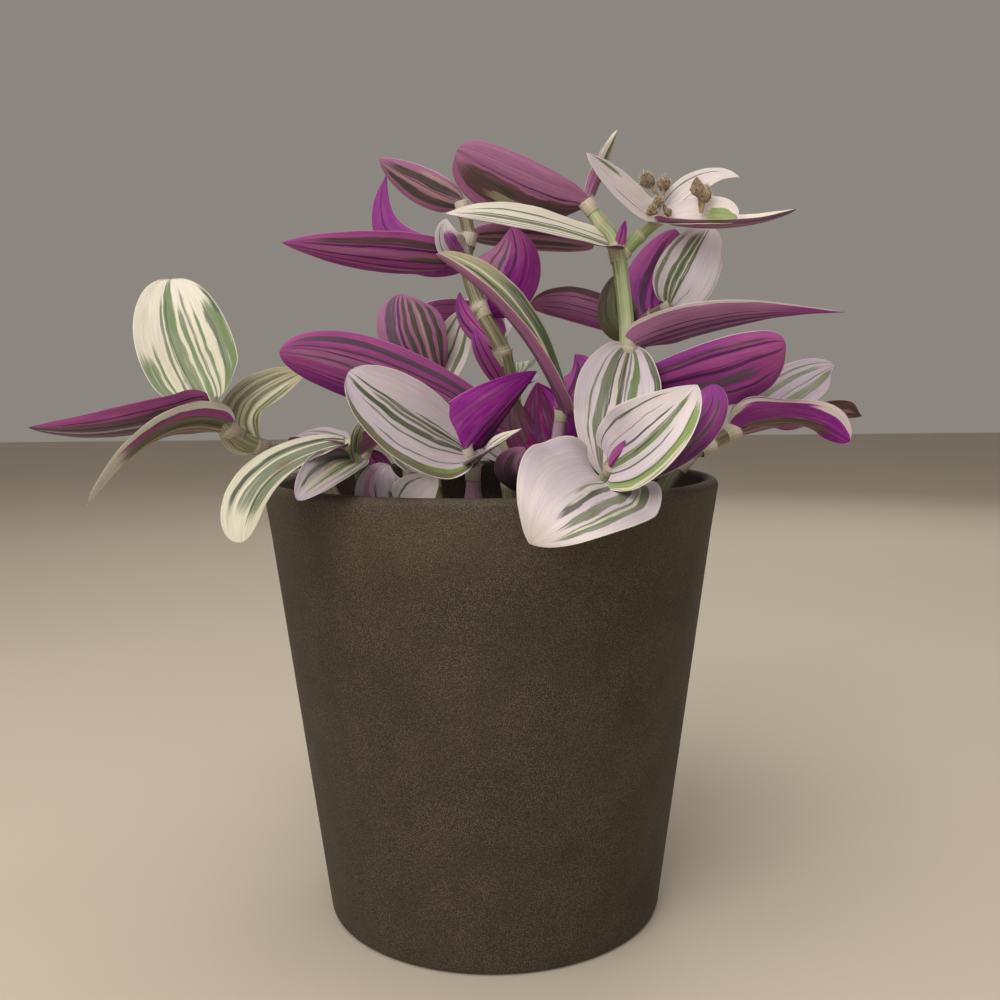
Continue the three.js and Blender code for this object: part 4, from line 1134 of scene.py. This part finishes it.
            leaf(5, (-62, 94, 130), (-68, 98, 112), 22, (-0.4, 0.8, 0.4),
                 look="diagonal", blunt=(0.5, 0.7)),
            leaf(5, (-46, 98, 122), (-48, 100, 104), 16.9, (0.1, 0.9, 0.3), look="duskyBands"),
        ],
    },
    "shoot_back_right": {
        "stem": "olive",
        "radius": 2.4,
        "nodes": [(30, 34, 118), (34, 42, 132), (40, 52, 143), (47, 62, 147), (54, 70, 150)],
        "leaves": [
            leaf(1, (18, 58, 142), (14, 78, 146), 20, (-0.3, 0.3, 0.9), look="curvedBands"),
            leaf(2, (60, 44, 152), (78, 42, 156), 20, (0.2, 0.3, 0.9), look="magentaLong"),
            leaf(3, (38, 84, 148), (34, 98, 134), 24, (-0.1, 0.8, 0.6),
                 look="uprightCream", blunt=(0.4, 0.6)),
            leaf(4, (70, 80, 160), (84, 84, 158), 20, (0.1, 0.4, 0.9), look="broadGreen"),
            leaf(4, (56, 88, 150), (56, 98, 134), 22, (0.1, 0.85, 0.5),
                 look="midribGreen", blunt=(0.5, 0.6)),
            leaf(4, (56, 76, 164), (58, 84, 172), 11.9, (0, -0.6, 0.8), look="vivid"),
        ],
    },
}


# Pot

potSizes = {
    "height": 136, "rimRadius": 70, "footRadius": 52.5, "wall": 4.6, "floor": 7,
    "footRounding": 2, "footSteps": 6, "lipSteps": 10, "outerRings": (20, 45, 70, 95, 120),
    "innerRings": (120, 80, 40), "sides": 160,
}
# the lighter band under the lip is a painted highlight, not a change in the glaze
potGlaze = {
    "ground": linear((54, 44, 34)), "cloud": linear((47, 38, 29)), "pale": linear((110, 97, 79)),
    "dark": linear((28, 22, 15)), "highlightBand": linear((74, 62, 50)), "highlightBandFoot": 108.0,
    "highlightBandHeight": 18.0, "highlightBandShare": 0.45, "grain": 3500.0, "pits": 2500.0, "clouds": 30.0,
    "density": 75.0, "relief": 0.22 * mm,
}


def outerAt(z):
    foot = potSizes["footRadius"]
    return foot + (potSizes["rimRadius"] - foot) * z / potSizes["height"]


def lathe(name, profile, sides):  # the profile goes from the axis outwards, up and back to it
    corners = [Vector((0, 0, profile[0][1]))]
    rings = profile[1:-1]
    for radius, z in rings:
        for k in range(sides):
            angle = 2 * math.pi * k / sides
            corners.append(Vector((radius * math.cos(angle), radius * math.sin(angle), z)))
    corners.append(Vector((0, 0, profile[-1][1])))
    faces = []
    for k in range(sides):
        after = (k + 1) % sides
        faces.append((0, 1 + after, 1 + k))
        for i in range(len(rings) - 1):
            low, high = 1 + i * sides, 1 + (i + 1) * sides
            faces.append((low + k, low + after, high + after, high + k))
        high = 1 + (len(rings) - 1) * sides
        faces.append((high + k, high + after, len(corners) - 1))
    mesh = bpy.data.meshes.new(name)
    mesh.from_pydata([corner * mm for corner in corners], [], faces)
    mesh.shade_smooth()
    return mesh


def arc(centre, radius, start, end, steps):
    angles = [start + (end - start) * i / steps for i in range(steps + 1)]
    return [(centre[0] + radius * math.cos(a), centre[1] + radius * math.sin(a)) for a in angles]


def rounded(knee, steps):  # from the first point to the last, drawn towards the middle one
    points = []
    for i in range(steps + 1):
        t = i / steps
        shares = ((1 - t) ** 2, 2 * t * (1 - t), t * t)
        points.append([sum(share * point[axis] for share, point in zip(shares, knee))
                       for axis in (0, 1)])
    return points


def potMaterial():  # pale and dark grains, closer together in clouds, and a painted highlight: a lighter band under the lip
    glaze = potGlaze
    material, tree, shader = newMaterial("stoneware", 0.5, 0.25)
    place = objectPlace(tree)
    height = split(place)[2] / mm
    grain = noise(tree, place, glaze["grain"], 2.0, 0.6)
    pits = noise(tree, place, glaze["pits"], 2.0, 0.6)
    cloud = noise(tree, place, glaze["clouds"], 3.0)
    dense = smooth(noise(tree, place, glaze["density"]) * 2.4 - 0.6)
    colour = mixColour(tree, smooth(cloud * 2.4 - 0.7), glaze["ground"], glaze["cloud"])
    # painted highlight: the glaze turns lighter towards the lip, as if lit from above
    highlightBand = smooth((height - glaze["highlightBandFoot"]) / glaze["highlightBandHeight"]) * glaze["highlightBandShare"]
    colour = mixColour(tree, highlightBand, colour, glaze["highlightBand"])
    pale = smooth(grain * 12.0 - 6.0) * (dense * 0.3 + 0.4)
    colour = mixColour(tree, pale, colour, glaze["pale"])
    colour = mixColour(tree, smooth(4.9 - pits * 11.0) * 0.6, colour, glaze["dark"])
    finishSurface(tree, shader, colour, 0.48 + cloud * 0.12 + grain * 0.16, grain + pits * 0.8,
                  glaze["relief"], 0.7)
    return material


def makePot():
    sizes = potSizes
    foot, rounding, lip = sizes["footRadius"], sizes["footRounding"], sizes["wall"] / 2
    knee = [(foot - rounding, 0), (foot, 0), (outerAt(rounding), rounding)]
    profile = [(0, 0), (foot * 0.5, 0)] + rounded(knee, sizes["footSteps"])
    profile += [(outerAt(z), z) for z in sizes["outerRings"]]
    rim = (sizes["rimRadius"] - lip, sizes["height"] - lip)
    profile += arc(rim, lip, 0, math.pi, sizes["lipSteps"])
    profile += [(outerAt(z) - sizes["wall"], z) for z in sizes["innerRings"]]
    inner = outerAt(sizes["floor"]) - sizes["wall"]
    profile += [(inner * share, sizes["floor"]) for share in (1, 0.5, 0)]
    mesh = lathe("pot", profile, sizes["sides"])
    mesh.materials.append(potMaterial())
    placed(joined("glazed_pot", [mesh]), "pot")


# Soil

soilSizes = {
    "level": 121, "dome": 3, "clearance": 0.35, "sides": 144, "rings": 34, "lumps": 1.1,
    "waves": (0.21, 0.19), "shift": 1.0, "crossWaves": (0.37, 0.41), "crossShare": 0.6,
    "relief": 1.6, "reliefScale": 230.0, "crumb": 1.3, "crumbs": 60000.0,
    "leastCrumb": (0.3, 0.3, 0.25), "mostCrumb": (1.6, 1.2, 0.9), "turns": (6.3, 6.3, 6.3),
    "crumbReach": 0.96, "steepest": 0.4, "seed": 4, "sizeSeed": 1, "turnSeed": 2,
}
soilLook = {
    "dark": linear((36, 27, 21)), "light": linear((52, 40, 30)), "dust": linear((88, 70, 52)),
    "grain": 700.0, "patches": 120.0, "relief": 1.2 * mm,
}


def soilMaterial():
    look = soilLook
    material, tree, shader = newMaterial("pottingSoil", 0.95, 0.2)
    place = objectPlace(tree)
    crumb = noise(tree, place, look["grain"], 4.0, 0.7)
    patch = noise(tree, place, look["patches"])
    colour = mixColour(tree, smooth(patch * 2.0 - 0.5), look["dark"], look["light"])
    colour = mixColour(tree, smooth(crumb * 6.0 - 3.6) * 0.6, colour, look["dust"])
    finishSurface(tree, shader, colour, 0.85 + crumb * 0.15, crumb, look["relief"], 1.0)
    return material


def soilRadiusAt(z):
    return outerAt(z) - potSizes["wall"] - soilSizes["clearance"]


def soilTree(skin):  # lumps and crumbs on the top of the soil
    sizes = soilSizes
    tree, given = newTree("soilSurface", {
        "Level": sizes["level"] * mm, "Lumps": sizes["lumps"] * mm,
        "Crumb Size": sizes["crumb"] * mm, "Crumbs": sizes["crumbs"], "Seed": sizes["seed"],
        "Skin": skin,
    })
    spot = add(tree, "GeometryNodeInputPosition")
    x, y, z = split(spot)
    onTop = calc(tree, "GREATER_THAN", z, given["Level"] * 0.5)
    reach = soilRadiusAt(sizes["level"]) * mm
    share = vectorCalc(tree, "LENGTH", vectorOf(tree, x, y, 0.0)) / reach
    edge = held(1.0 - share * share * share * share)
    across, deep = x / mm, y / mm
    wave, crossWave = sizes["waves"], sizes["crossWaves"]
    lump = sine(across * wave[0] + sizes["shift"]) * cosine(deep * wave[1])
    lump = lump + sine(across * crossWave[0] - deep * crossWave[1]) * sizes["crossShare"]
    relief = (noise(tree, spot, sizes["reliefScale"], 4.0, 0.65) - 0.5) * (sizes["relief"] * mm)
    rise = (lump * given["Lumps"] + relief) * edge * onTop
    shaped = moved(tree, given["Geometry"], Offset=vectorOf(tree, 0.0, 0.0, rise))
    up = split(add(tree, "GeometryNodeInputNormal"))[2]
    free = onTop * calc(tree, "GREATER_THAN", up, sizes["steepest"])
    free = free * calc(tree, "LESS_THAN", share, sizes["crumbReach"])
    spots = add(tree, "GeometryNodeDistributePointsOnFaces", {
        "Mesh": shaped, "Selection": free, "Density": given["Crumbs"], "Seed": given["Seed"]})
    crumb = add(tree, "GeometryNodeMeshIcoSphere", {"Radius": 0.5, "Subdivisions": 1})
    size = randomVector(tree, sizes["leastCrumb"], sizes["mostCrumb"], sizes["sizeSeed"])
    turn = randomVector(tree, (0.0, 0.0, 0.0), sizes["turns"], sizes["turnSeed"])
    crumbs = repeated(tree, spots, crumb, turn, Scale=size * given["Crumb Size"])
    loose = add(tree, "GeometryNodeSetMaterial", {"Geometry": crumbs, "Material": given["Skin"]})
    endTree(tree, skinned(tree, shaped, given["Skin"]), loose)
    return tree


def makeSoil():
    sizes = soilSizes
    low = potSizes["floor"] + sizes["clearance"]
    profile = [(0, low), (soilRadiusAt(potSizes["floor"]), low)]
    for i in range(sizes["rings"] + 1):
        share = 1 - i / sizes["rings"]
        height = sizes["level"] + sizes["dome"] * (1 - share ** 2) - sizes["dome"]
        profile.append((soilRadiusAt(sizes["level"]) * share, height))
    start = lathe("soil", profile, sizes["sides"])
    skin = soilMaterial()
    mesh = grown(soilTree(skin), {"Skin": skin}, start)
    placed(joined("potting_soil", [mesh]), "soil")


# Dried flower buds

budBuild = {
    "stalkRadius": 0.55, "segments": 36, "rings": 26, "length": 1.35, "lengthShare": 0.8,
    "topLength": 0.3, "topNarrowing": 0.35, "ridges": 3.0, "ridgeDepth": 0.3, "ridgeTwist": 0.7,
    "crumples": 2.4, "crumpleDepth": 0.9, "hairLength": 1.3 * mm, "hairRadius": 0.045 * mm,
    "hairs": 2600000.0, "seed": 8, "leastLean": (-0.5, -0.5, -0.2), "mostLean": (0.5, 0.5, 0.8),
    "leanSeed": 3,
}
budLook = {
    "pale": linear((156, 134, 104)), "dark": linear((106, 88, 68)), "fold": linear((72, 54, 42)),
    "folds": 900.0, "patches": 260.0, "relief": 0.4 * mm,
}
budClusters = {  # the foot of the stalks, then the place and size of each bud
    "flower_buds": {
        "foot": (52.8, -3, 218.8),
        "buds": [(49, 1, 226, 2.4), (54, 1, 225, 2.3), (51, -6.5, 218.5, 1.9),
                 (48.6, -9.5, 215.5, 1.9), (54, -6, 215.5, 1.4)],
    },
    "flower_buds_outer": {
        "foot": (62.5, -14.4, 214),
        "buds": [(61.5, -14.5, 221, 2.3), (63.5, -15, 219, 2.2)],
    },
}


def budMaterial():
    look = budLook
    material, tree, shader = newMaterial("driedBud", 0.8, 0.25)
    place = objectPlace(tree)
    fold = noise(tree, place, look["folds"], 3.0, 0.65)
    patch = noise(tree, place, look["patches"])
    colour = mixColour(tree, smooth(patch * 3.0 - 1.0), look["pale"], look["dark"])
    colour = mixColour(tree, smooth(fold * 6.0 - 3.0) * 0.75, colour, look["fold"])
    finishSurface(tree, shader, colour, 0.7 + fold * 0.2, fold, look["relief"], 1.0)
    return material


def budTree(skin, hairSkin):  # ridged and crumpled balls with hairs all over
    build = budBuild
    tree, given = newTree("driedBuds", {
        "Hair Length": build["hairLength"], "Hairs": build["hairs"], "Seed": build["seed"],
        "Skin": skin, "Hair Skin": hairSkin,
    })
    ball = add(tree, "GeometryNodeMeshUVSphere", {
        "Segments": build["segments"], "Rings": build["rings"], "Radius": 1.0})
    spot = add(tree, "GeometryNodeInputPosition")
    x, y, z = split(spot)
    angle = calc(tree, "ARCTAN2", y, x)
    wedge = cosine(angle * (build["ridges"] / 2) + z * build["ridgeTwist"])
    wedge = calc(tree, "ABSOLUTE", wedge)
    crumple = noise(tree, spot, build["crumples"], 4.0, 0.6) - 0.5
    slim = 1.0 - wedge * build["ridgeDepth"] - smooth(z * 0.9) * build["topNarrowing"]
    slim = slim + crumple * build["crumpleDepth"]
    tall = z * (1.0 + smooth(z) * build["topLength"]) * build["length"] * build["lengthShare"]
    formed = moved(tree, ball, Position=vectorOf(tree, x * slim, y * slim, tall))
    buds = realised(tree, onPoints(tree, given, skinned(tree, formed, given["Skin"])))
    spots = add(tree, "GeometryNodeDistributePointsOnFaces", {
        "Mesh": buds, "Density": given["Hairs"], "Seed": given["Seed"]})
    hair = hairShape(tree, build["hairRadius"], given["Hair Length"])
    lean = randomVector(tree, build["leastLean"], build["mostLean"], build["leanSeed"])
    hairs = repeated(tree, spots, hair, aimed(tree, besides(spots, "Normal") + lean))
    endTree(tree, buds, skinned(tree, hairs, given["Hair Skin"]))
    return tree


def makeBuds(stem, hairSkin):
    skin = budMaterial()
    tree = budTree(skin, hairSkin)
    for name, cluster in budClusters.items():
        foot = Vector(cluster["foot"])
        centres = [Vector(bud[:3]) for bud in cluster["buds"]]
        growth = [(centre - foot).normalized() for centre in centres]
        start = pointMesh("buds", centres, growth=growth,
                          size=[bud[3] * mm for bud in cluster["buds"]])
        meshes = [grown(tree, {"Skin": skin, "Hair Skin": hairSkin}, start)]
        for centre in centres:
            stalk = [foot, (foot + centre) / 2, centre]
            radius = budBuild["stalkRadius"]
            meshes.append(stemMesh(stem, stalk, radius, skin, taper=1.0, swelling=0.0))
        placed(joined(name.replace("flower", "dried_flower"), meshes), name)


# The whole plant

def makeShoots():
    skins = plantSkins()
    trees = {
        "stem": stemTree(skins["green"]),
        "sheath": sheathTree(skins["paleSheath"], skins["hair"]),
        "blade": leafTree(skins["green"]),
    }
    for number, (name, shoot) in enumerate(shoots.items()):
        meshes = shootMeshes(shoot, trees, skins, number * seedSteps["shoot"])
        placed(joined(name.replace("shoot", "leafy_shoot"), meshes), name)
        print("grown:", name)
    makeBuds(trees["stem"], skins["hair"])


# Camera, floor and light

cameraView = {
    "place": (-0.27, -339.05, 164.7), "pitch": -6.13, "yaw": -0.51, "roll": -0.54,
    "lens": 38.99, "sensor": 36, "nearest": 10,
}
lamps = {
    "window": {"place": (-500, -900, 650), "size": 700, "power": 6.6, "colour": (1.0, 0.97, 0.93)},
    "front": {"place": (120, -1100, 160), "size": 900, "power": 2.8, "colour": (1.0, 0.96, 0.93)},
    "sky": {"place": (-150, -250, 1000), "size": 900, "power": 6.0, "colour": (1.0, 0.98, 0.95)},
    "back": {"place": (350, 900, 700), "size": 800, "power": 2.5, "colour": (1.0, 0.97, 0.94)},
}
studio = {
    "lampTarget": (0, 0, 120), "air": (0.9, 0.83, 0.74, 1.0), "airStrength": 0.29,
    "floorHalf": 3000, "floorLow": linear((196, 183, 166)), "floorHigh": linear((208, 196, 180)),
    "floorClouds": 3.0,
}


def setCamera():
    view = cameraView
    camera = bpy.data.objects.new("camera", bpy.data.cameras.new("camera"))
    bpy.context.collection.objects.link(camera)
    camera.data.lens = view["lens"]
    camera.data.sensor_width = view["sensor"]
    camera.data.clip_start = view["nearest"] * mm
    turn = Matrix.Rotation(math.radians(view["yaw"]), 4, "Z")
    turn = turn @ Matrix.Rotation(math.radians(90 + view["pitch"]), 4, "X")
    turn = turn @ Matrix.Rotation(math.radians(view["roll"]), 4, "Z")
    camera.matrix_world = Matrix.Translation(Vector(view["place"]) * mm) @ turn
    bpy.context.scene.camera = camera


def setLights():
    for name, values in lamps.items():
        data = bpy.data.lights.new(name, "AREA")
        data.size = values["size"] * mm
        data.energy = values["power"]
        data.color = values["colour"]
        lamp = bpy.data.objects.new(name, data)
        bpy.context.collection.objects.link(lamp)
        lamp.location = Vector(values["place"]) * mm
        aim = Vector(studio["lampTarget"]) * mm - lamp.location
        lamp.rotation_euler = aim.to_track_quat("-Z", "Y").to_euler()
    world = bpy.data.worlds.new("studio")
    world.use_nodes = True
    background = world.node_tree.nodes["Background"]
    background.inputs["Color"].default_value = studio["air"]
    background.inputs["Strength"].default_value = studio["airStrength"]
    bpy.context.scene.world = world
    bpy.context.scene.view_settings.view_transform = "Standard"


def setFloor():
    half = studio["floorHalf"] * mm
    mesh = bpy.data.meshes.new("floor")
    corners = [(-half, -half, 0), (half, -half, 0), (half, half, 0), (-half, half, 0)]
    mesh.from_pydata(corners, [], [(0, 1, 2, 3)])
    material, tree, shader = newMaterial("paleFloor", 0.7, 0.3)
    shade = noise(tree, objectPlace(tree), studio["floorClouds"], 3.0)
    colour = mixColour(tree, shade, studio["floorLow"], studio["floorHigh"])
    wire(tree, shader.inputs["Base Color"], colour)
    mesh.materials.append(material)
    floor = bpy.data.objects.new("floor", mesh)
    bpy.context.collection.objects.link(floor)


setCamera()
setLights()
setFloor()
print("stage set")
makePot()
makeSoil()
print("pot and soil made")
makeShoots()
bpy.context.view_layer.update()
print("plant finished")
